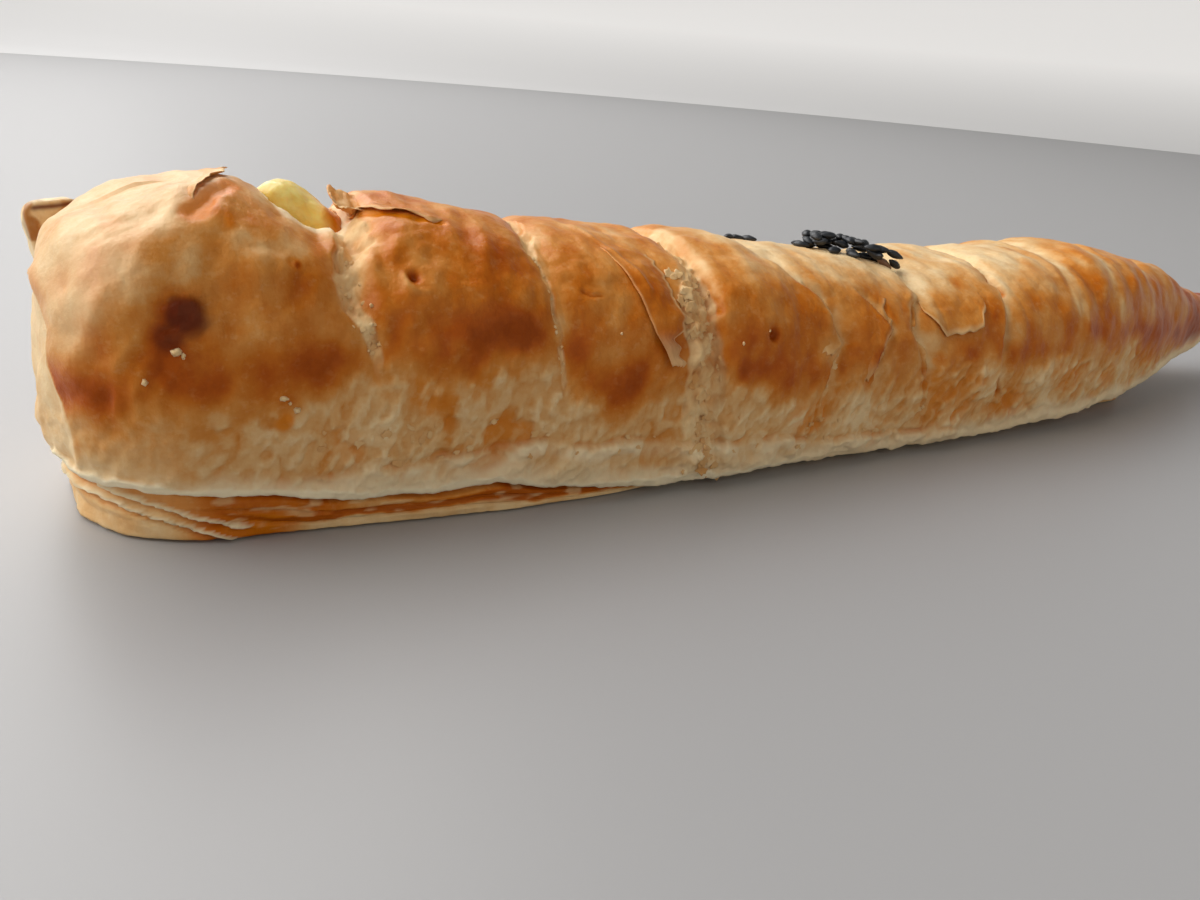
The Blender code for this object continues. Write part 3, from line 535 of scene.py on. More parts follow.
def new_piece(name, points, faces, fields=None):
    mesh = bpy.data.meshes.new(name)
    mesh.from_pydata((np.asarray(points) * MM + SHIFT).tolist(), [], faces)
    mesh.update()
    piece = bpy.data.objects.new(name, mesh)
    bpy.context.scene.collection.objects.link(piece)
    mesh.shade_smooth()
    for key, values in (fields or {}).items():
        set_field(mesh, key, values)
    return piece


def set_field(mesh, key, values):
    layer = mesh.attributes.get(key) or mesh.attributes.new(key, "FLOAT", "POINT")
    layer.data.foreach_set("value", np.asarray(values, np.float32))


def get_points(mesh):
    flat = np.empty(len(mesh.vertices) * 3)
    mesh.vertices.foreach_get("co", flat)
    return (flat.reshape(-1, 3) - SHIFT) / MM


def apply_modifiers(piece):
    graph = bpy.context.evaluated_depsgraph_get()
    mesh = bpy.data.meshes.new_from_object(piece.evaluated_get(graph))
    piece.modifiers.clear()
    old = piece.data
    piece.data = mesh
    mesh.name = piece.name
    bpy.data.meshes.remove(old)


def join(target, other, operation):
    """Joins or cuts with one other closed mesh, which is then removed."""
    made = target.modifiers.new(operation.lower(), "BOOLEAN")
    made.object = other
    made.operation = operation
    made.solver = "MANIFOLD"
    apply_modifiers(target)
    mesh = other.data
    bpy.data.objects.remove(other)
    bpy.data.meshes.remove(mesh)


def stations(start, stop, count):
    """Places along the stick, closer together at the slashes and at the end that is seen from nearer."""
    at = np.linspace(start, stop, 6000)
    density = 1.0 + 0.9 * (stop - at) / (stop - start)
    for slit in SLITS[:6]:
        density = density + 0.9 * bump(at - line_at(slit["line"], 0.4), 3.4)
    density = density + 1.0 * bump(at + 34, 4.0)
    total = np.concatenate([[0], np.cumsum((density[1:] + density[:-1]) / 2)])
    return np.interp(np.linspace(0, total[-1], count), total, at)


NEAR_COUNT, TIP_COUNT, NOSE_COUNT = 821, 34, 190
LOW_ROWS, HIGH_ROWS = 34, 96
INNER_LEVELS = (-1.0, -0.5, 0.0, 0.3, 0.6, 0.85)


def rounded_end(count, way):
    """Shares across and along the outline of a rounded end, in order round the plan."""
    angle = way * (math.pi * np.arange(1, count) / count - math.pi / 2)
    across = np.sign(np.sin(angle)) * np.abs(np.sin(angle)) ** (2 / NOSE_POWER)
    return across, np.abs(np.cos(angle)) ** (2 / NOSE_POWER)


def plan(xs, half, back_step, tail_count, nose_count, tail, nose):
    """Columns round a rounded plan: outline x, y, spine x, number of the spine vertex, side."""
    numbers = np.arange(len(xs))
    back = numbers[::-back_step]
    tail_across, tail_along = rounded_end(tail_count, 1)
    nose_across, nose_along = rounded_end(nose_count, -1)
    last, first = np.full(tail_count - 1, len(xs) - 1), np.zeros(nose_count - 1, int)
    columns = (
        (xs, -half, xs, numbers, -np.ones(len(xs))),
        (xs[-1] + tail * tail_along, half[-1] * tail_across, xs[last], last, np.sign(tail_across)),
        (xs[back], half[back], xs[back], back, np.ones(len(back))),
        (xs[0] - nose * nose_along, half[0] * nose_across, xs[first], first, np.sign(nose_across)),
    )
    x, y, spine, number, side = (np.concatenate([column[k] for column in columns]) for k in range(5))
    return x, y, spine, number, np.where(side == 0, 1.0, side)


def rows_faces(rows, width, offset, flip):
    faces = []
    for row in range(rows - 1):
        a = offset + row * width
        b = a + width
        for k in range(width):
            n = (k + 1) % width
            face = (a + k, a + n, b + n, b + k)
            faces.append(face[::-1] if flip else face)
    return faces


def crest_faces(last, width, number, spine_offset, flip):
    faces = []
    for k in range(width):
        n = (k + 1) % width
        s, t = number[k], number[n]
        middle = [spine_offset + m for m in (range(t, s + 1) if s > t else range(t, s - 1, -1))]
        face = [last + k, last + n] + middle
        faces.append(tuple(face[::-1]) if flip else tuple(face))
    return faces


def cavity_x(x):
    """The cavity follows the stick up to CAVITY_BEND, and is squeezed beyond it."""
    squeezed = CAVITY_BEND + (x - CAVITY_BEND) * (CAVITY_END - CAVITY_BEND) / (RIGHT_X - CAVITY_BEND)
    return np.where(x <= CAVITY_BEND, x, squeezed)


def build_crust():
    xs = stations(LEFT_X + LEFT_NOSE, RIGHT_X - RIGHT_NOSE, NEAR_COUNT)
    x, y, spine, number, side = plan(xs, table(HALF_WIDTH, xs), 2, TIP_COUNT, NOSE_COUNT, RIGHT_NOSE, LEFT_NOSE)
    width = len(x)
    levels = np.concatenate([np.linspace(-1, 0, LOW_ROWS), np.linspace(0, 1, HIGH_ROWS + 1)[1:-1]])
    rows = len(levels)
    around = [np.tile(values, rows) for values in (x, y, spine, side)]
    points, fields, _ = outside(*around[:3], np.repeat(levels, width), around[3])
    one = np.ones(len(xs))
    top, top_fields, _ = outside(xs, 0 * xs, xs, one, one)

    inside = cavity_x(spine)
    reach = x - spine
    reach = np.where(reach < 0, reach * (LEFT_NOSE - WALL) / LEFT_NOSE, reach)
    inner_y = (table(HALF_WIDTH, inside) - WALL) * y / table(HALF_WIDTH, spine)
    deep = len(INNER_LEVELS)
    around = [np.tile(values, deep) for values in (inside + reach, inner_y, inside)]
    inner, _ = smooth_shell(*around, np.repeat(INNER_LEVELS, width), WALL)
    inner_xs = cavity_x(xs)
    inner_top, _ = smooth_shell(inner_xs, 0 * xs, inner_xs, one, WALL)

    spine_offset = len(points)
    inner_offset = spine_offset + len(top)
    inner_spine_offset = inner_offset + len(inner)
    faces = rows_faces(rows, width, 0, False)
    faces += crest_faces((rows - 1) * width, width, number, spine_offset, False)
    faces += rows_faces(deep, width, inner_offset, True)
    faces += crest_faces(inner_offset + (deep - 1) * width, width, number, inner_spine_offset, True)
    for k in range(width):
        n = (k + 1) % width
        faces.append((inner_offset + k, inner_offset + n, n, k))
    made = new_piece("pastry_crust", np.concatenate([points, top, inner, inner_top]), faces)
    merged = {key: np.concatenate([fields[key], top_fields[key]]) for key in fields}
    return made, np.concatenate([points, top]), merged


def turned(turn):
    spins = [Matrix.Rotation(angle, 3, axis) for angle, axis in zip(turn, "XYZ")]
    return np.array(spins[2] @ spins[1] @ spins[0])


def blob(name, at, size, turn=(0.0, 0.0, 0.0), detail=5, rough=0.0, cycles=300.0, square=0.0, seed=0.0):
    """A closed rounded lump with an uneven surface; square > 0 makes it boxier."""
    bpy.ops.mesh.primitive_cube_add(size=2.0)
    made = bpy.context.active_object
    made.name = name
    soft = made.modifiers.new("soft", "SUBSURF")
    soft.subdivision_type = "SIMPLE"
    soft.levels = detail
    soft.render_levels = detail
    apply_modifiers(made)
    mesh = made.data
    flat = np.empty(len(mesh.vertices) * 3)
    mesh.vertices.foreach_get("co", flat)
    co = flat.reshape(-1, 3)
    exponent = 2.0 + square
    co = co / ((np.abs(co) ** exponent).sum(1) ** (1 / exponent))[:, None]
    shaped = co * np.array(size)
    direction = shaped / np.linalg.norm(shaped, axis=1)[:, None]
    lumps = field(shaped + seed * 7.0, cycles, (seed, 2.0, 5.0)) + 0.5 * field(shaped, cycles * 2.6, (3.0, seed, 1.0))
    shaped = shaped + direction * (rough * lumps)[:, None]
    placed = shaped @ turned(turn).T + np.array(at)
    mesh.vertices.foreach_set("co", (placed * MM + SHIFT).ravel())
    mesh.update()
    mesh.shade_smooth()
    return made


crust, shell_points, shell_fields = build_crust()

EAR_AT, EAR_SIZE = (-108.2, 11.0, 29.0), (3.4, 1.7, 4.5)
EAR_TURN = (math.radians(-8), math.radians(-6), math.radians(12))
MOUTH_AT, MOUTH_SIZE = (-81.2, 1.5, 33.4), (4.7, 8.6, 7.0)

mouth = blob("mouth", MOUTH_AT, MOUTH_SIZE, detail=6, rough=0.75, cycles=380.0, seed=1.0)
join(crust, mouth, "DIFFERENCE")
ear = blob("ear", EAR_AT, EAR_SIZE, EAR_TURN, 5, 0.35, 260.0, 2.4, 2.0)
join(crust, ear, "UNION")

# Every vertex takes its fields from the grid it came from. The mouth's cut faces are crumb, and the ear is
# mottled, with a burnt line below its pale rim.
tree = kdtree.KDTree(len(shell_points))
for k, p in enumerate(shell_points.tolist()):
    tree.insert(p, k)
tree.balance()
crust_points = get_points(crust.data)
found = [tree.find(p) for p in crust_points.tolist()]
nearest = np.array([f[1] for f in found])
crust_fields = {key: values[nearest] for key, values in shell_fields.items()}
cut = np.array([f[2] for f in found]) > 0.12
in_mouth = cut & (np.abs(crust_points[:, 0] - MOUTH_AT[0]) < 8) & (crust_points[:, 2] > 18)
on_ear = cut & (crust_points[:, 0] < -103) & (crust_points[:, 2] > 22)


def paint(where, **values):
    for key, value in values.items():
        crust_fields[key] = np.where(where, value, crust_fields[key])


ear_at = (crust_points - EAR_AT) @ turned(EAR_TURN) / EAR_SIZE
ear_at = ear_at + 0.06 * field(crust_points, 300.0, (5.0, 5.0, 1.0))[:, None]
rim = np.maximum(ease(0.92, 0.98, ear_at[:, 2]), ease(0.94, 0.99, -ear_at[:, 0]))
line = bump(ear_at[:, 2] - 0.80, 0.07) * ease(-0.9, -0.6, ear_at[:, 0])
mottle = field(crust_points, 420.0, (2.0, 5.0, 1.0)) + 0.4 * field(crust_points, 900.0, (2.0, 5.0, 6.0))
mottle = ease(0.0, 0.35, mottle)
paint(in_mouth, torn=1.0, oil=0.15)
paint(on_ear, burn=np.maximum(0.42 * mottle, 0.9 * line), bake=0.05 + 0.34 * mottle, torn=rim)
paint(in_mouth | on_ear, white=0.5 * np.maximum(in_mouth, rim))
from_mouth = np.linalg.norm((crust_points - MOUTH_AT) / MOUTH_SIZE, axis=1)
from_mouth = from_mouth + 0.12 * field(crust_points, 420.0, (1.0, 1.0, 6.0))
beside_mouth = (1 - ease(1.08, 1.22, from_mouth)) * (crust_points[:, 2] > 22)
crust_fields["torn"] = np.maximum(crust_fields["torn"], 0.9 * beside_mouth)
crust_fields["white"] = np.maximum(crust_fields["white"], 0.45 * beside_mouth)
for key, values in crust_fields.items():
    set_field(crust.data, key, values)
crust.data.shade_smooth()


# ---------------------------------------------------------------- peeled flakes of skin

def flake(left, right, levels, lift, curl, thick=0.32, seed=0, columns=26, rows=60, tip=0.0, free="right",
          pale=0.0, near_edge=None, fray=0.06, ragged=1.0):
    """A thin sheet over the near side. left and right: (level, x) of its edges; lift: (share from the root, mm)."""
    level = np.linspace(levels[0], levels[1], rows)
    share = np.linspace(0, 1, columns)
    grid_level = np.repeat(level, columns)
    grid_share = np.tile(share, rows)
    ends = np.stack([40.0 * grid_share, 0 * grid_share + seed * 5.0, 0 * grid_share], 1)
    grid_level = grid_level + np.abs(grid_level - grid_level.mean()) / np.ptp(grid_level) * fray * field(ends, 160.0)
    x0 = line_at(left, grid_level)
    x1 = line_at(right, grid_level)
    probe = np.stack([grid_level * 22.0, 0 * grid_level + seed * 3.1, 0 * grid_level], 1)
    torn = 0.9 * field(probe, 420.0, (seed, 1.0, 1.0)) + 0.5 * field(probe, 1200.0, (seed, 4.0, 2.0))
    torn = torn * ragged
    x = x0 + (x1 + torn - x0) * grid_share
    if near_edge:
        edge = line_at(near_edge, x) + 0.02 * torn
        grid_level = edge + (levels[1] - edge) * (grid_level - levels[0]) / (levels[1] - levels[0])
    over = grid_level > 1
    real_level = np.where(over, 2 - grid_level, grid_level)
    side = np.where(over, 1.0, -1.0)
    along = np.linspace(0, 1, rows).repeat(columns)
    if free == "near":
        rise, fade = line_at(lift, 1 - along), line_at(curl, grid_share)
    else:
        rise = line_at(lift, grid_share if free == "right" else 1 - grid_share)
        fade = line_at(curl, along)
    upper, fields, away = outside(x, table(HALF_WIDTH, x) * side, x, real_level, side)
    bare = fields["torn"]
    wave = field(upper, 420.0, (seed * 1.7, 3.0, 3.0))
    height = -0.5 + (rise + 0.5) * fade + 0.18 * wave + 0.3 * bare
    top = upper + away * height[:, None]
    taper = 1 - 0.6 * np.maximum(ease(0.75, 1.0, grid_share), ease(0.75, 1.0, 1 - along))
    low = top - away * (thick * taper)[:, None]
    points = np.concatenate([top, low])
    count = len(top)
    faces = []
    for r in range(rows - 1):
        for c in range(columns - 1):
            a = r * columns + c
            quad = (a, a + 1, a + columns + 1, a + columns)
            faces.append(quad)
            faces.append(tuple(v + count for v in quad[::-1]))
    edge = list(range(columns)) + [r * columns + columns - 1 for r in range(1, rows)]
    edge += [(rows - 1) * columns + c for c in range(columns - 2, -1, -1)]
    edge += [r * columns for r in range(rows - 2, 0, -1)]
    for a, b in zip(edge, edge[1:] + edge[:1]):
        faces.append((b, a, a + count, b + count))
    out = {key: np.concatenate([values, values]) for key, values in fields.items()}
    rim = np.maximum(ease(0.88, 1.0, grid_share), 0.5 * ease(0.93, 1.0, 1 - grid_share)) * tip
    rim = np.maximum(rim, tip * (1 - ease(0.02, 0.2, along)))
    if free == "near":
        rim = 1 - ease(0.0, 0.12, along)
    out["torn"] = np.concatenate([0.8 * rim, 0 * bare + 0.2])
    # the undersides are painted orange: a painted glow of light shining through the thin skin
    out["oil"] = np.concatenate([0 * bare, 0 * bare + 0.8])
    out["bake"] = np.clip(out["bake"] - 0.25 * pale, 0.25, 1)
    out["white"] = out["white"] * 0
    return points, faces, out


def gather(name, parts):
    """One piece from several closed meshes."""
    points = []
    faces = []
    fields = {}
    start = 0
    for more_points, more_faces, more_fields in parts:
        points.append(more_points)
        faces += [tuple(v + start for v in face) for face in more_faces]
        for key, values in more_fields.items():
            fields.setdefault(key, []).append(values)
        start += len(more_points)
    return new_piece(name, np.concatenate(points), faces, {k: np.concatenate(v) for k, v in fields.items()})


# The flakes' outlines, how far they stand off and how they curl, as the arguments of flake()
FLAKES = (
    dict(
        left=((0.17, -39.6), (0.22, -40.3), (0.3, -41.6), (0.45, -42.6), (0.6, -43.5), (0.95, -46.0)),
        right=((0.17, -38.9), (0.2, -38.2), (0.26, -37.6), (0.36, -37.2), (0.45, -37.4), (0.6, -37.2), (0.95, -38.0)),
        levels=(0.17, 0.95), lift=((0, 0.5), (0.3, 0.7), (0.7, 0.65), (1, 0.4)),
        curl=((0, 1.7), (0.25, 1.2), (0.6, 0.8), (1, 0.0)), seed=3, tip=1.0, pale=-0.4, fray=0.02, columns=40,
        rows=110, thick=0.18, ragged=1.8,
    ),
    dict(
        left=((0.66, -97.5), (1.06, -98.5)),
        right=((0.66, -96.4), (0.72, -95.2), (0.80, -93.6), (0.90, -92.4), (1.0, -89.8), (1.2, -89.0)),
        levels=(0.67, 1.2), lift=((0, -0.9), (0.55, -0.4), (1, 0.95)), curl=((0, 0.1), (0.3, 0.7), (1, 1.1)), seed=4,
        tip=1.0, thick=0.2,
    ),
    dict(
        left=((0.7, -75.6), (1.04, -75.8)), right=((0.7, -64.4), (1.04, -64.0)), levels=(0.75, 1.04),
        near_edge=((-75.6, 0.95), (-74.2, 0.885), (-72.1, 0.825), (-70, 0.80), (-67.5, 0.775), (-64.4, 0.765)),
        lift=((0, -0.9), (0.45, -0.2), (1, 0.7)), curl=((0, 1.0), (0.35, 1.0), (0.75, 0.5), (1, 0.1)), seed=5,
        free="near", columns=90, rows=30, thick=0.16,
    ),
    dict(
        left=((0.9, -77.6), (0.97, -78.0), (1.06, -77.4)), right=((0.9, -73.5), (1.06, -72.0)),
        levels=(0.92, 1.05), lift=((0, -0.6), (0.3, 0.2), (0.6, 1.6), (1, 4.4)),
        curl=((0, 0.8), (0.5, 1.0), (1, 0.8)), seed=15, free="left", rows=24, thick=0.24, tip=1.0,
    ),
    dict(
        left=((0.2, -17.0), (0.62, -18.0)),
        right=((0.2, -11.5), (0.26, -9.0), (0.36, -9.9), (0.5, -10.8), (0.62, -13.2)),
        levels=(0.2, 0.62), lift=((0, -0.8), (0.5, 0.0), (1, 0.6)), curl=((0, 0.7), (0.5, 1.0), (1, 0.4)), seed=6,
        tip=0.7,
    ),
    dict(
        left=((0.08, -7.0), (0.6, -6.0)),
        right=((0.08, -4.0), (0.2, -1.6), (0.34, 0.6), (0.48, 1.4), (0.6, 3.0)),
        levels=(0.08, 0.6), lift=((0, -0.8), (0.5, 0.0), (1, 0.55)), curl=((0, 0.7), (0.5, 1.0), (1, 0.3)), seed=7,
        tip=0.7,
    ),
    dict(
        left=((0.28, 9.4), (0.62, 10.5)), right=((0.28, 21.8), (0.62, 24.0)), levels=(0.30, 0.66),
        near_edge=(
            (8.5, 0.52), (9.8, 0.45), (11.0, 0.39), (12.6, 0.30), (15, 0.315), (19.8, 0.315), (20.6, 0.40),
            (22.4, 0.47),
        ),
        lift=((0, -0.8), (0.4, 0.0), (1, 0.6)), curl=((0, 0.9), (0.5, 1.0), (1, 0.9)), seed=8,
        free="near", columns=90, rows=34, thick=0.2,
    ),
)
flakes = gather("skin_flakes", [flake(**spec) for spec in FLAKES])


# ---------------------------------------------------------------- base sheet

BASE_LEFT, BASE_RIGHT = -110.2, 78.0
BASE_HALF = ((-88, 19.9), (-62, 21.8), (-47, 21.6), (-36, 20.2), (20, 18.8), (38, 17.0), (50, 15.2), (66, 12.6))
BASE_NOSE, BASE_TAIL = 23.0, 11.0
BASE_COUNT, BASE_TAIL_COUNT, BASE_NOSE_COUNT, BASE_ROWS = 421, 40, 130, 22
BASE_LAYERS, LAYER_DEPTH = 3, 0.5
SEAM_GAP, BASE_STEP, BASE_TOP = 0.55, 0.76, 5.6

# Heights of two thin layers that show along the near edge: (x, z)
PALE_LAYER = ((-109, 5.9), (-106.7, 5.7), (-103.2, 5.1), (-99.6, 3.7), (-96.5, 2.7), (-93.7, 1.5))
ORANGE_LAYER = (
    (-95.0, 3.2), (-90.1, 2.0), (-83.7, 1.4), (-79.8, 1.9), (-72.5, 1.7), (-63.7, 2.4), (-57.8, 1.4), (-46.9, 1.0),
)


def build_base():
    xs = np.linspace(BASE_LEFT + BASE_NOSE, BASE_RIGHT - BASE_TAIL, BASE_COUNT)
    half = table(BASE_HALF, xs)
    x, y, spine, number, _ = plan(xs, half, 1, BASE_TAIL_COUNT, BASE_NOSE_COUNT, BASE_TAIL, BASE_NOSE)
    width = len(x)
    shares = [0.0] + list(np.linspace(0.04, 0.97, BASE_ROWS)) + [1.0]
    thick = lip_edge(x) - SEAM_GAP
    full = np.minimum(1.0, thick / 4)
    away = np.stack([x - spine, y, 0 * x], 1)
    away /= np.linalg.norm(away, axis=1)[:, None]
    loops = []
    for share in shares:
        here = np.stack([x, y, 0 * x + share * 5.0], 1)
        wave = 0.45 * field(np.stack([x, y, 0 * x + share * 18.0], 1), 160.0)
        bend = 0.16 * field(here, (120.0, 120.0, 0.0), (2.0, 2.0, 2.0))
        bend = bend + 0.07 * field(here, (420.0, 420.0, 0.0), (5.0, 2.0, 2.0))
        layer = (share + bend * math.sin(math.pi * share)) * BASE_LAYERS
        groove = np.abs(layer - np.round(layer))
        between = ease(0.0, 0.4, share) if share < 0.5 else 1.0
        crack = np.exp(-((groove / 0.13) ** 2)) * (0.0 if share in (0.0, 1.0) else 1.0)
        crack = crack * (0.25 + 0.75 * ease(-102, -94, x))
        rough = 0.16 * field(here, 700.0, (1.0, 1.0, 7.0)) + 0.08 * field(here, 1700.0, (1.0, 4.0, 7.0))
        inset = -0.8 if share == 0.0 else (-0.7 if share == 1.0 else 0.0)
        push = (inset - LAYER_DEPTH * 1.1 * crack * between + wave + rough) * full
        loop = here + away * push[:, None]
        loop[:, 2] = thick * share
        loops.append(loop)
    for kind in (0, 1):
        inner_x = spine + (x - spine) * BASE_STEP
        height = lip_edge(inner_x) - SEAM_GAP if kind == 0 else np.maximum(BASE_TOP, lip_edge(inner_x) + 0.3)
        loops.append(np.stack([inner_x, y * BASE_STEP, height], 1))
    under = np.stack([xs, 0 * xs, 0 * xs], 1)
    over = np.stack([xs, 0 * xs, np.maximum(BASE_TOP, lip_edge(xs) + 0.3)], 1)
    rows = len(loops)
    points = np.concatenate(loops + [under, over])
    faces = rows_faces(rows, width, 0, False)
    faces += crest_faces(0, width, number, rows * width, True)
    faces += crest_faces((rows - 1) * width, width, number, rows * width + BASE_COUNT, False)

    px, py, pz = points.T
    blot = field(points, (120.0, 120.0, 420.0), (3.0, 3.0, 3.0))
    fleck = field(points, (380.0, 380.0, 1300.0), (8.0, 3.0, 3.0))
    uneven = 0.35 * field(points, 260.0, (8.0, 8.0, 3.0)) + 0.15 * field(points, 900.0, (8.0, 1.0, 3.0))
    bake = 0.80 + 0.24 * blot + 0.14 * fleck
    oil = 0.35 + 0.8 * blot
    bare = ease(0.18, 0.4, fleck) * 0.7
    blunt = 1 - ease(-101, -95, px)
    middle = ease(-84, -79, px)
    bake = towards(bake, 0.16 + 0.12 * blot, blunt)
    oil = oil * (1 - blunt)
    bare = np.maximum(bare * (1 - blunt), 0.35 * blunt)
    inner = blunt * ease(-0.2, 0.3, pz - line_at(PALE_LAYER, px) - 0.2 + uneven)
    bake = towards(bake, 0.48, inner * 0.9)
    oil = np.maximum(oil, 0.7 * inner)
    upper = middle * ease(-0.2, 0.3, pz - line_at(ORANGE_LAYER, px) - 0.35 + uneven)
    bake = towards(bake, 0.38 + 0.16 * blot, upper)
    oil = oil * (1 - 0.85 * upper)
    lowest = ease(-90, -84, px) * (1 - ease(-0.2, 0.2, pz - line_at(ORANGE_LAYER, px) + 0.55 + uneven))
    bake = towards(bake, 0.10, lowest)
    bare = np.maximum(bare, 0.6 * lowest)
    oil = oil * (1 - lowest)
    fin = bump(pz - line_at(ORANGE_LAYER, px) + uneven, 0.36)
    fin = fin * ease(-97, -93, px) * (1 - ease(-48, -44, px)) * (py < 0)
    lens = bump(np.hypot((px + 57) / 9.0, (pz - 2.2) / 1.3), 1.0) * (py < 0)
    glossy = ease(0.25, 0.7, np.maximum(fin, lens))
    oil = towards(oil, 0.25, glossy)
    bake = towards(bake, 1.0, glossy)
    left_end = (1 - ease(-93, -91, px)) * (py < 0)
    over_line = pz - line_at(PALE_LAYER, px) + uneven
    thin = np.maximum(bump(over_line, 0.28), bump(over_line + 1.5 + 0.4 * blot, 0.2)) * left_end
    # a darker line in the gap under each thin layer: painted shade
    under_thin = np.maximum(bump(over_line + 0.55, 0.26), bump(over_line + 2.0 + 0.4 * blot, 0.22)) * left_end
    bake = bake + 0.4 * under_thin
    oil = np.maximum(oil, 0.5 * under_thin)
    bare = np.maximum(bare, ease(0.3, 0.7, thin))
    oil = oil * (1 - ease(0.3, 0.7, thin))
    dot = bump(np.hypot(px + 102.6, (pz - 4.8) * 1.4), 0.6) * (py < 0)
    oil = np.maximum(oil, dot)
    bake = np.maximum(bake, 0.7 * dot)
    away = np.stack([np.minimum(px - (BASE_LEFT + BASE_NOSE), 0), py, 0 * px], 1)
    away /= np.maximum(np.linalg.norm(away, axis=1), 1e-9)[:, None]
    rows_end = len(shares) * width
    push = 0.5 * ease(0.2, 0.8, thin) - 0.4 * under_thin - 0.5 * inner * bump(pz - 6.5, 2.0) - 0.2 * fin
    push[rows_end:] = 0
    points = points + away * push[:, None]
    fields = dict(
        bake=np.clip(bake, 0, 1), torn=np.clip(bare, 0, 1), burn=0 * bake, oil=np.clip(oil, 0, 1),
        white=0.7 * ease(0.3, 0.8, thin),
    )
    return new_piece("pastry_base", points, faces, fields)


base = build_base()

# ---------------------------------------------------------------- filling: the solids' core with a finer chunk

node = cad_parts["filling"]
core = bmesh.new()
core.from_mesh(node.data)
core.transform(node.matrix_world)
bmesh.ops.remove_doubles(core, verts=core.verts, dist=2e-6)
core_mesh = bpy.data.meshes.new("yellow_filling")
core.to_mesh(core_mesh)
core.free()
filling = bpy.data.objects.new("yellow_filling", core_mesh)
bpy.context.scene.collection.objects.link(filling)
above = blob("above", (-80.5, 1.5, 36.0), (12.0, 16.0, 9.0), detail=3, square=8.0)
join(filling, above, "DIFFERENCE")
chunk = blob(
    "chunk", (-81.3, 2.2, 31.6), (6.6, 3.6, 4.2), (0.0, math.radians(33), math.radians(-24)), detail=6, rough=0.34,
    cycles=260.0, square=1.2, seed=3.0,
)
join(filling, chunk, "UNION")
filling_points = get_points(filling.data)
skin = ease(1.6, 4.0, filling_points[:, 0] + 81.3 + 1.2 * field(filling_points, 300.0, (4.0, 9.0, 1.0)))
set_field(filling.data, "oil", skin)
filling.data.shade_smooth()

# ---------------------------------------------------------------- sesame

SEED_LENGTH, SEED_WIDTH, SEED_THICK = 3.0, 1.8, 1.1
PILE_SEEDS = 24
PILE_FROM, PILE_TO, PILE_SPREAD = (0.4, 4.6), (11.8, -6.4), 2.4
STRAY_SEEDS = ((-10.8, 8.6), (-9.0, 9.0), (-7.2, 7.9))
TOP_SEEDS = 15
PALE_SEED = 21


def ball_faces(rings, segments):
    """Faces over vertices that run from pole to pole, ring by ring."""
    last = 1 + (rings - 1) * segments
    faces = []
    for s in range(segments):
        n = (s + 1) % segments
        faces.append((0, 1 + s, 1 + n))
        for r in range(rings - 2):
            a = 1 + r * segments
            faces.append((a + s, a + segments + s, a + segments + n, a + n))
        faces.append((last, last - segments + n, last - segments + s))
    return faces


def seed_mesh(at, normal, spin, tilt):
    """A flat drop, pointed at one end, with a faint rim."""
    rings, segments = 12, 18
    points = [(SEED_LENGTH / 2, 0.0, 0.0)]
    for r in range(1, rings):
        angle = math.pi * r / rings
        along = math.cos(angle)
        radius = math.sin(angle) ** 0.9 * (1 - 0.42 * max(0.0, along) ** 0.9)
        for s in range(segments):
            turn = math.tau * s / segments
            y = math.cos(turn) * radius
            z = math.sin(turn) * radius * (1 - 0.12 * math.cos(2 * turn))
            points.append((along * SEED_LENGTH / 2, y * SEED_WIDTH / 2, z * SEED_THICK / 2))
    points.append((-SEED_LENGTH / 2, 0.0, 0.0))
    lie = Vector(normal).to_track_quat("Z", "Y")
    heading = Vector((1, 0, 0)).rotation_difference(Vector((math.cos(spin), math.sin(spin), 0)))
    lean = Vector((1, 0, 0)).rotation_difference(Vector((math.cos(tilt), 0, math.sin(tilt))))
    turn = np.array((lie @ heading @ lean).to_matrix())
    return np.array(points) @ turn.T + np.array(at), ball_faces(rings, segments)


def build_seeds():
    randoms = random.Random(12)
    spots = []
    for k in range(PILE_SEEDS):
        share = (k + 0.5) / PILE_SEEDS
        out = math.sin(k * 2.4) * PILE_SPREAD * (1 - 0.35 * abs(2 * share - 1))
        x = PILE_FROM[0] + (PILE_TO[0] - PILE_FROM[0]) * share + out * 0.8 + randoms.uniform(-0.7, 0.7)
        y = PILE_FROM[1] + (PILE_TO[1] - PILE_FROM[1]) * share + out * 0.5 + randoms.uniform(-0.7, 0.7)
        spots.append((x, y))
    spots += list(STRAY_SEEDS)
    for k in range(TOP_SEEDS):
        share = (k + 0.7) / (TOP_SEEDS + 1)
        spots.append((
            PILE_FROM[0] + (PILE_TO[0] - PILE_FROM[0]) * share + randoms.uniform(-1.7, 1.7),
            PILE_FROM[1] + (PILE_TO[1] - PILE_FROM[1]) * share + randoms.uniform(-1.4, 1.4),
        ))
    taken = []
    parts = []
    for k, (x, y) in enumerate(spots):
        hit, normal, _, _ = crust_tree.ray_cast(Vector((x, y, 100.0)), Vector((0, 0, -1)))
        crowd = sum(1 for other in taken if (Vector((x, y)) - other).length < 1.5)
        at = hit + normal * (0.38 * SEED_THICK + min(crowd, 2) * 0.85 * SEED_THICK)
        spin = randoms.uniform(0, math.tau)
        tilt = randoms.uniform(-0.35, 0.35) * min(crowd, 1)
        points, faces = seed_mesh(at, normal, spin, tilt)
        parts.append((points, faces, {"oil": np.full(len(points), 1.0 if k == PALE_SEED else 0.0)}))
        taken.append(Vector((x, y)))
    return gather("sesame_seeds", parts)


crust.data.calc_loop_triangles()
crust_tree = BVHTree.FromPolygons(crust_points.tolist(), [tuple(t.vertices) for t in crust.data.loop_triangles])
seeds = build_seeds()

# ---------------------------------------------------------------- crumbs

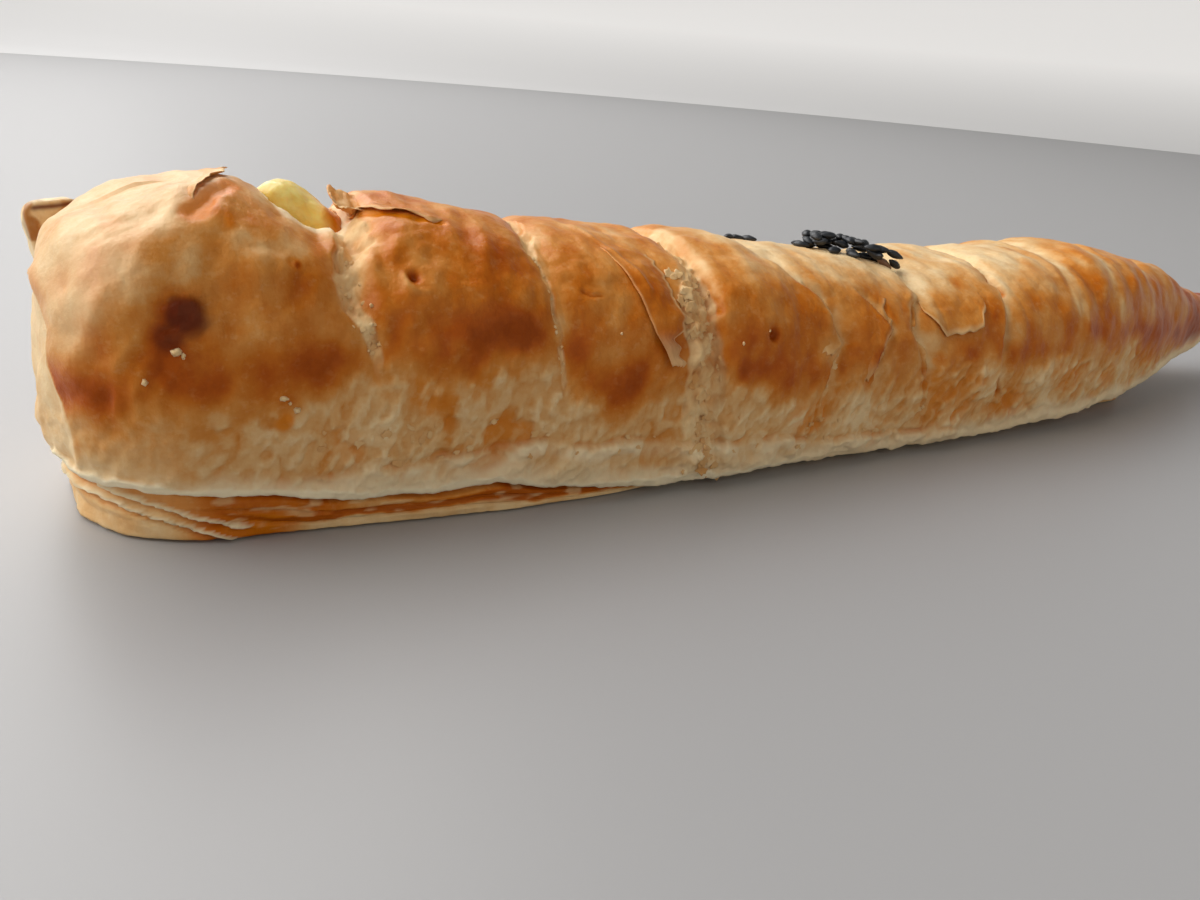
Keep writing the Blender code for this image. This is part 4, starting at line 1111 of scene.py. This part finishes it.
# Loose crumbs on the near side (x, z, size), and how many more lie at the foot of the third slash
CRUMBS = (
    (-98.2, 23.0, 0.9), (-97.6, 22.6, 0.6), (-87.9, 17.4, 0.8), (-86.6, 15.9, 0.9), (-87.2, 16.6, 0.5),
    (-101.5, 20.0, 0.6), (-77.6, 24.5, 0.5), (-77.2, 26.4, 0.55), (-78.2, 21.8, 0.45), (-54.9, 24.6, 0.4),
    (-54.6, 26.2, 0.35), (-55.0, 22.8, 0.4), (-46.2, 22.4, 0.35), (-27.6, 20.2, 0.5), (-23.0, 21.6, 0.35),
)
SLASH_CRUMBS = 26


def small_lump(at, size, seed):
    """A jagged crumb."""
    randoms = random.Random(seed)
    rings, segments = 8, 10
    points = [(0, 0, 1.0)]
    for r in range(1, rings):
        for s in range(segments):
            a, b = math.pi * r / rings, math.tau * s / segments
            points.append((math.sin(a) * math.cos(b), math.sin(a) * math.sin(b), math.cos(a)))
    points.append((0, 0, -1.0))
    stretch = np.array([randoms.uniform(0.6, 1.3) for _ in range(3)])
    ball = np.array(points)
    ball = ball * (1 + 0.55 * field(ball, 1600.0, (seed, 1.0, 2.0)))[:, None] * stretch * size / 2
    return ball + np.array(at), ball_faces(rings, segments)


def build_crumbs():
    parts = []
    for k, (x, z, size) in enumerate(CRUMBS):
        hit, normal, _, _ = crust_tree.ray_cast(Vector((x, -60.0, z)), Vector((0, 1, 0)))
        points, faces = small_lump(hit + normal * size * 0.15, size, k)
        parts.append((points, faces, {"bake": np.full(len(points), 0.0)}))
    for k in range(SLASH_CRUMBS):
        randoms = random.Random(100 + k)
        at = (-30.0 + randoms.uniform(-1.6, 1.6), -21.6 + randoms.uniform(-1.2, 0.8), 0.9 + randoms.uniform(0, 1.3))
        points, faces = small_lump(at, randoms.uniform(0.7, 1.5), 200 + k)
        points[:, 2] = np.maximum(points[:, 2], 0.05)
        parts.append((points, faces, {"bake": np.full(len(points), randoms.uniform(0.0, 0.4))}))
    return gather("pastry_crumbs", parts)


def petal(at, away, size, spin, tilt, seed):
    """A thin torn scale of dough, standing off the surface at one side."""
    randoms = random.Random(seed)
    rings, segments = 4, 14
    rim = [randoms.uniform(0.55, 1.25) for _ in range(segments)]
    stretch = randoms.uniform(0.45, 0.9)
    flat = [(0.0, 0.0, 0.0)]
    for r in range(1, rings + 1):
        for s in range(segments):
            reach, angle = r / rings * rim[s], math.tau * s / segments
            flat.append((reach * math.cos(angle), reach * math.sin(angle) * stretch, 0.0))
    upper = np.array(flat) * size / 2
    upper[:, 2] = 0.10 * size * (upper[:, 0] / size) ** 2 + 0.05 * size * field(upper, 900.0, (seed, 3.0, 1.0))
    lower = upper - (0.0, 0.0, 0.14)
    count = len(upper)
    faces = []
    for s in range(segments):
        n = (s + 1) % segments
        faces.append((0, 1 + s, 1 + n))
        faces.append((count, count + 1 + n, count + 1 + s))
        for r in range(rings - 1):
            a = 1 + r * segments
            faces.append((a + s, a + segments + s, a + segments + n, a + n))
            faces.append((count + a + s, count + a + n, count + a + segments + n, count + a + segments + s))
        a = 1 + (rings - 1) * segments
        faces.append((a + s, count + a + s, count + a + n, a + n))
    lie = Vector(away).to_track_quat("Z", "Y")
    turn = np.array(lie.to_matrix() @ (Matrix.Rotation(spin, 3, "Z") @ Matrix.Rotation(tilt, 3, "Y")))
    return np.concatenate([upper, lower]) @ turn.T + np.array(at), faces


# Where torn scales stand: slash they follow, number, x from and to, level from and to, size from and to.
# With a slash, x counts from its line.
PETALS = (
    (2, 26, -5.4, -0.4, 0.26, 0.62, 1.0, 2.6), (2, 40, -4.6, 0.8, -0.9, 0.30, 0.8, 2.0),
    (2, 22, -0.9, 0.7, 0.1, 0.6, 0.5, 1.2), (0, 26, -1.2, 1.6, 0.2, 0.66, 0.4, 1.0),
    (1, 12, -0.3, 0.5, 0.1, 0.72, 0.3, 0.6), (None, 30, -84.0, -40.0, -0.6, -0.1, 0.5, 1.5),
    (None, 16, -29.0, 0.0, -0.7, -0.1, 0.5, 1.3), (4, 5, -0.2, 1.2, -0.3, 0.5, 0.5, 1.2),
    (3, 5, 0.0, 1.4, 0.0, 0.5, 0.5, 1.2),
)


def build_petals():
    parts = []
    randoms = random.Random(77)
    for slit, count, x_from, x_to, level_from, level_to, small, large in PETALS:
        for _ in range(count):
            level = np.array([randoms.uniform(level_from, level_to)])
            x = np.array([randoms.uniform(x_from, x_to)])
            if slit is not None:
                x = x + line_at(SLITS[slit]["line"], level)
            spot, _, away = outside(x, -table(HALF_WIDTH, x), x, level, np.array([-1.0]))
            size = randoms.uniform(small, large)
            spin, tilt = randoms.uniform(0, math.tau), randoms.uniform(-0.16, 0.16)
            at = spot[0] + away[0] * 0.08
            points, faces = petal(at, away[0], size, spin, tilt, randoms.randrange(999))
            parts.append((points, faces, {"bake": np.full(len(points), randoms.uniform(0.10, 0.42))}))
    return gather("torn_scales", parts)


crumbs = build_crumbs()
petals = build_petals()


# ---------------------------------------------------------------- materials

def srgb(r, g, b):
    def linear(v):
        v /= 255
        return v / 12.92 if v <= 0.04045 else ((v + 0.055) / 1.055) ** 2.4

    return (linear(r), linear(g), linear(b), 1.0)


class Nodes:
    """Short ways to add and link shader nodes."""

    def __init__(self, name):
        self.material = bpy.data.materials.new(name)
        self.material.use_nodes = True
        self.tree = self.material.node_tree
        self.shader = self.tree.nodes["Principled BSDF"]

    def add(self, kind, **values):
        node = self.tree.nodes.new(kind)
        for key, value in values.items():
            setattr(node, key, value)
        return node

    def feed(self, node, values):
        """Numbers and tuples are set on the node's sockets; outputs of other nodes are linked to them."""
        for key, value in values.items():
            if isinstance(value, (int, float, tuple)):
                node.inputs[key].default_value = value
            else:
                self.tree.links.new(value, node.inputs[key])

    def surface(self, values):
        self.feed(self.shader, values)

    def field(self, key):
        return self.add("ShaderNodeAttribute", attribute_name=key, attribute_type="GEOMETRY").outputs["Fac"]

    def noise(self, scale, detail, rough, stretch=(1, 1, 1)):
        place = self.add("ShaderNodeTexCoord")
        turn = self.add("ShaderNodeMapping")
        self.feed(turn, {"Scale": stretch, "Vector": place.outputs["Object"]})
        node = self.add("ShaderNodeTexNoise")
        self.feed(node, {"Vector": turn.outputs["Vector"], "Scale": scale, "Detail": detail, "Roughness": rough})
        return node.outputs["Fac"]

    def math(self, kind, a, b, clamp=False):
        node = self.add("ShaderNodeMath", operation=kind, use_clamp=clamp)
        self.feed(node, {0: a, 1: b})
        return node.outputs[0]

    def times(self, a, b, clamp=False):
        return self.math("MULTIPLY", a, b, clamp)

    def vary(self, value, noise, strength, clamp=False):
        """The value, moved up and down by the noise."""
        return self.math("ADD", value, self.times(self.math("SUBTRACT", noise, 0.5), strength), clamp)

    def ramp(self, fac, stops):
        node = self.add("ShaderNodeValToRGB")
        ramp = node.color_ramp
        ramp.elements[0].position, ramp.elements[0].color = stops[0]
        ramp.elements[1].position, ramp.elements[1].color = stops[-1]
        for position, colour in stops[1:-1]:
            ramp.elements.new(position).color = colour
        self.feed(node, {"Fac": fac})
        return node.outputs["Color"]

    def grey(self, fac, low, high, at=(0.0, 1.0)):
        return self.ramp(fac, ((at[0], (low, low, low, 1)), (at[1], (high, high, high, 1))))

    def mix(self, fac, a, b):
        node = self.add("ShaderNodeMix", data_type="RGBA")
        self.feed(node, {"Factor": fac, "A": a, "B": b})
        return node.outputs["Result"]

    def bumps(self, layers):
        """layers: (height, strength, distance in mm), chained."""
        before = None
        for height, strength, distance in layers:
            node = self.add("ShaderNodeBump")
            self.feed(node, {"Strength": strength, "Distance": distance * MM, "Height": height})
            if before:
                self.feed(node, {"Normal": before})
            before = node.outputs["Normal"]
        self.surface({"Normal": before})


CREAM = srgb(238, 208, 160)
TAN = srgb(226, 178, 118)
GOLD = srgb(214, 142, 66)
BROWN = srgb(200, 112, 28)
DEEP = srgb(180, 84, 8)
DARKEST = srgb(158, 68, 0)
CRUMB = srgb(243, 212, 160)
ORANGE = srgb(222, 126, 0)
WHITE_DOUGH = srgb(255, 242, 208)
BURNT = srgb(98, 30, 8)


def pastry_material(name, roughness=(0.37, 0.62), coat=0.04):
    n = Nodes(name)
    mottle = n.noise(260.0, 5.0, 0.6)
    fibre = n.noise(520.0, 4.0, 0.6, (1.0, 0.35, 0.35))
    specks = n.noise(1500.0, 3.0, 0.6)
    bake = n.vary(n.field("bake"), mottle, 0.46)
    bake = n.vary(bake, fibre, 0.26)
    bake = n.vary(bake, specks, 0.14, clamp=True)
    colour = n.ramp(bake, ((0.0, CREAM), (0.22, TAN), (0.42, GOLD), (0.62, BROWN), (0.82, DEEP), (1.0, DARKEST)))
    colour = n.mix(n.times(n.field("oil"), 0.9, clamp=True), colour, ORANGE)
    thin_flecks = n.grey(n.noise(820.0, 3.0, 0.6, (1.0, 0.6, 1.3)), 0.0, 0.42, (0.56, 0.68))
    thin_flecks = n.times(thin_flecks, n.math("SUBTRACT", 1.0, n.field("bake"), clamp=True))
    colour = n.mix(thin_flecks, colour, TAN)
    crumb = n.mix(n.grey(mottle, 0.0, 1.0, (0.35, 0.7)), CRUMB, TAN)
    colour = n.mix(n.times(n.field("torn"), 0.85, clamp=True), colour, crumb)
    colour = n.mix(n.field("white"), colour, WHITE_DOUGH)
    colour = n.mix(n.field("burn"), colour, BURNT)
    dry = n.math("MAXIMUM", n.field("torn"), n.math("SUBTRACT", 0.55, n.field("bake")), clamp=True)
    n.surface({
        "Base Color": colour, "Roughness": n.grey(dry, *roughness), "Subsurface Weight": 0.08,
        "Subsurface Radius": (1.0, 0.74, 0.46), "Subsurface Scale": 1.4 * MM, "Specular IOR Level": 0.22,
        "Specular Tint": (1.0, 0.80, 0.56, 1.0), "Coat Weight": coat, "Coat Roughness": 0.34,
    })
    n.bumps(((n.noise(420.0, 5.0, 0.62), 0.45, 0.40), (fibre, 0.35, 0.30), (specks, 0.45, 0.14)))
    return n.material


def filling_material():
    n = Nodes("yellow_filling")
    wet = n.noise(420.0, 4.0, 0.6)
    flesh = n.mix(n.grey(wet, 0.0, 1.0, (0.35, 0.65)), srgb(255, 233, 144), srgb(255, 210, 96))
    n.surface({
        "Base Color": n.mix(n.field("oil"), flesh, srgb(216, 132, 18)), "Roughness": n.grey(wet, 0.3, 0.5),
        "Specular IOR Level": 0.3, "Coat Weight": 0.3, "Coat Roughness": 0.2, "Subsurface Weight": 0.25,
        "Subsurface Radius": (1.0, 0.6, 0.15), "Subsurface Scale": 1.5 * MM,
    })
    n.bumps(((wet, 0.6, 0.4), (n.noise(1500.0, 3.0, 0.6), 0.5, 0.12)))
    return n.material


def seed_material():
    n = Nodes("black_sesame")
    tone = n.noise(700.0, 3.0, 0.5)
    black = n.mix(n.grey(tone, 0.0, 1.0, (0.3, 0.7)), srgb(24, 27, 31), srgb(44, 48, 54))
    colour = n.mix(n.field("oil"), black, srgb(150, 112, 86))
    n.surface({"Base Color": colour, "Roughness": n.grey(tone, 0.36, 0.5)})
    n.bumps(((n.noise(2600.0, 3.0, 0.6), 0.3, 0.05),))
    return n.material


def give(piece, material):
    piece.data.materials.clear()
    piece.data.materials.append(material)


skin_material = pastry_material("browned_pastry")
for piece in (crust, flakes, crumbs, petals):
    give(piece, skin_material)
for piece in (crumbs, petals):
    for key in ("torn", "burn", "oil", "white"):
        set_field(piece.data, key, np.full(len(piece.data.vertices), 0.55 if key == "torn" else 0.0))
give(base, pastry_material("base_pastry", (0.42, 0.6), 0.02))
give(filling, filling_material())
give(seeds, seed_material())

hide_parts("crust_top")
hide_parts("crust_base")
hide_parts("filling")
for piece, slot in (
    (crust, "browned_pastry"), (flakes, "browned_pastry"), (crumbs, "browned_pastry"), (petals, "browned_pastry"),
    (base, "base_pastry"), (filling, "yellow_filling"), (seeds, "browned_pastry"),
):
    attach(piece, "root")

# ---------------------------------------------------------------- floor, light and camera

PALE_GREY = srgb(166, 166, 167)

bpy.ops.mesh.primitive_plane_add(size=6.0, location=(0, 0, -0.0002))
floor = bpy.context.active_object
floor.name = "floor"
floor_nodes = Nodes("pale_floor")
floor_nodes.surface({"Base Color": PALE_GREY, "Roughness": 0.42})
give(floor, floor_nodes.material)

# Backdrop, in metres: where it starts, how far it leans back, and how high its curved and upright parts go
BACKDROP_STEPS, BACKDROP_ROWS, UPRIGHT_ROWS = 72, 16, 2
BACKDROP_FROM, BACKDROP_LEAN, BACKDROP_CURVE, UPRIGHT_ROW = 1.2, 1.2, 0.9, 0.5
# Its glow by height, and the way across the floor in which it gets brighter
BACKDROP_GLOW = ((0.0, 0.28), (0.10, 0.58), (0.30, 0.58), (0.75, 0.11))
BACKDROP_AWAY = (0.48, 0.88)


def build_backdrop():
    """A pale sheet round the stick, which curves up out of the floor and glows, brightest at the back: a painted
    light, as the sheet is no lamp.
    """
    steps, rows = BACKDROP_STEPS, BACKDROP_ROWS
    corners = []
    for step in range(steps + 1):
        turn = -math.tau * step / steps
        for row in range(rows + 1):
            lean = math.pi / 2 * min(1.0, row / (rows - UPRIGHT_ROWS))
            away = BACKDROP_FROM + BACKDROP_LEAN * math.sin(lean)
            high = BACKDROP_CURVE * (1 - math.cos(lean)) + UPRIGHT_ROW * max(0, row - rows + UPRIGHT_ROWS)
            corners.append((away * math.cos(turn), away * math.sin(turn), high - 0.0001))
    faces = []
    for step in range(steps):
        for row in range(rows):
            a = step * (rows + 1) + row
            faces.append((a, a + 1, a + rows + 2, a + rows + 1))
    mesh = bpy.data.meshes.new("backdrop")
    mesh.from_pydata(corners, [], faces)
    mesh.shade_smooth()
    made = bpy.data.objects.new("backdrop", mesh)
    bpy.context.scene.collection.objects.link(made)
    n = Nodes("glowing_backdrop")
    place = n.add("ShaderNodeTexCoord")
    split = n.add("ShaderNodeSeparateXYZ")
    n.feed(split, {0: place.outputs["Object"]})
    glow = n.ramp(split.outputs["Z"], [(z, (light, light, light, 1)) for z, light in BACKDROP_GLOW])
    along = [n.times(split.outputs[axis], share) for axis, share in zip("XY", BACKDROP_AWAY)]
    behind = n.grey(n.times(n.math("ADD", n.math("ADD", *along), 0.8), 0.5), 0.38, 1.0)
    n.surface({
        "Base Color": PALE_GREY, "Roughness": 0.6, "Emission Color": (1.0, 0.975, 0.94, 1.0),
        "Emission Strength": n.times(glow, behind),
    })
    give(made, n.material)


build_backdrop()


def area_light(name, at, target, size, power, colour):
    lamp = bpy.data.lights.new(name, "AREA")
    lamp.shape = "RECTANGLE"
    lamp.size, lamp.size_y = size
    lamp.energy = power
    lamp.color = colour
    holder = bpy.data.objects.new(name, lamp)
    bpy.context.scene.collection.objects.link(holder)
    holder.location = at
    holder.rotation_euler = (Vector(target) - Vector(at)).to_track_quat("-Z", "Y").to_euler()


area_light("window", (-0.55, 0.62, 0.80), (-0.1, 0.1, 0.0), (2.0, 1.1), 25.0, (1.0, 0.985, 0.97))
area_light("left_window", (-0.85, 0.15, 0.36), (-0.08, 0.0, 0.02), (0.8, 0.55), 1.2, (1.0, 0.985, 0.97))
area_light("room", (0.1, -0.9, 0.6), (0.0, 0.0, 0.02), (1.2, 0.8), 2.0, (1.0, 0.91, 0.78))

world = bpy.data.worlds.new("studio")
bpy.context.scene.world = world
world.use_nodes = True
world.node_tree.nodes["Background"].inputs[0].default_value = (1.0, 0.98, 0.95, 1.0)
world.node_tree.nodes["Background"].inputs[1].default_value = 0.095

# The camera's lens, axes and stand point in the stick's own millimetres, solved from the photo
camera_data = bpy.data.cameras.new("camera")
camera = bpy.data.objects.new("camera", camera_data)
bpy.context.scene.collection.objects.link(camera)
camera_data.sensor_width = 36.0
camera_data.lens = 29.13
camera_data.clip_start = 0.005
right = (0.88926966, -0.4502202, 0.08063029)
down = (-0.10553245, -0.37349804, -0.92160844)
forward = (0.44504199, 0.81104931, -0.37965332)
stand = np.array((-105.0136, -125.3997, 55.3526)) * MM + SHIFT
rows = [[right[k], -down[k], -forward[k], stand[k]] for k in range(3)] + [[0, 0, 0, 1]]
camera.matrix_world = Matrix(rows)
bpy.context.scene.camera = camera
bpy.context.scene.view_settings.view_transform = "Standard"

bpy.context.view_layer.update()
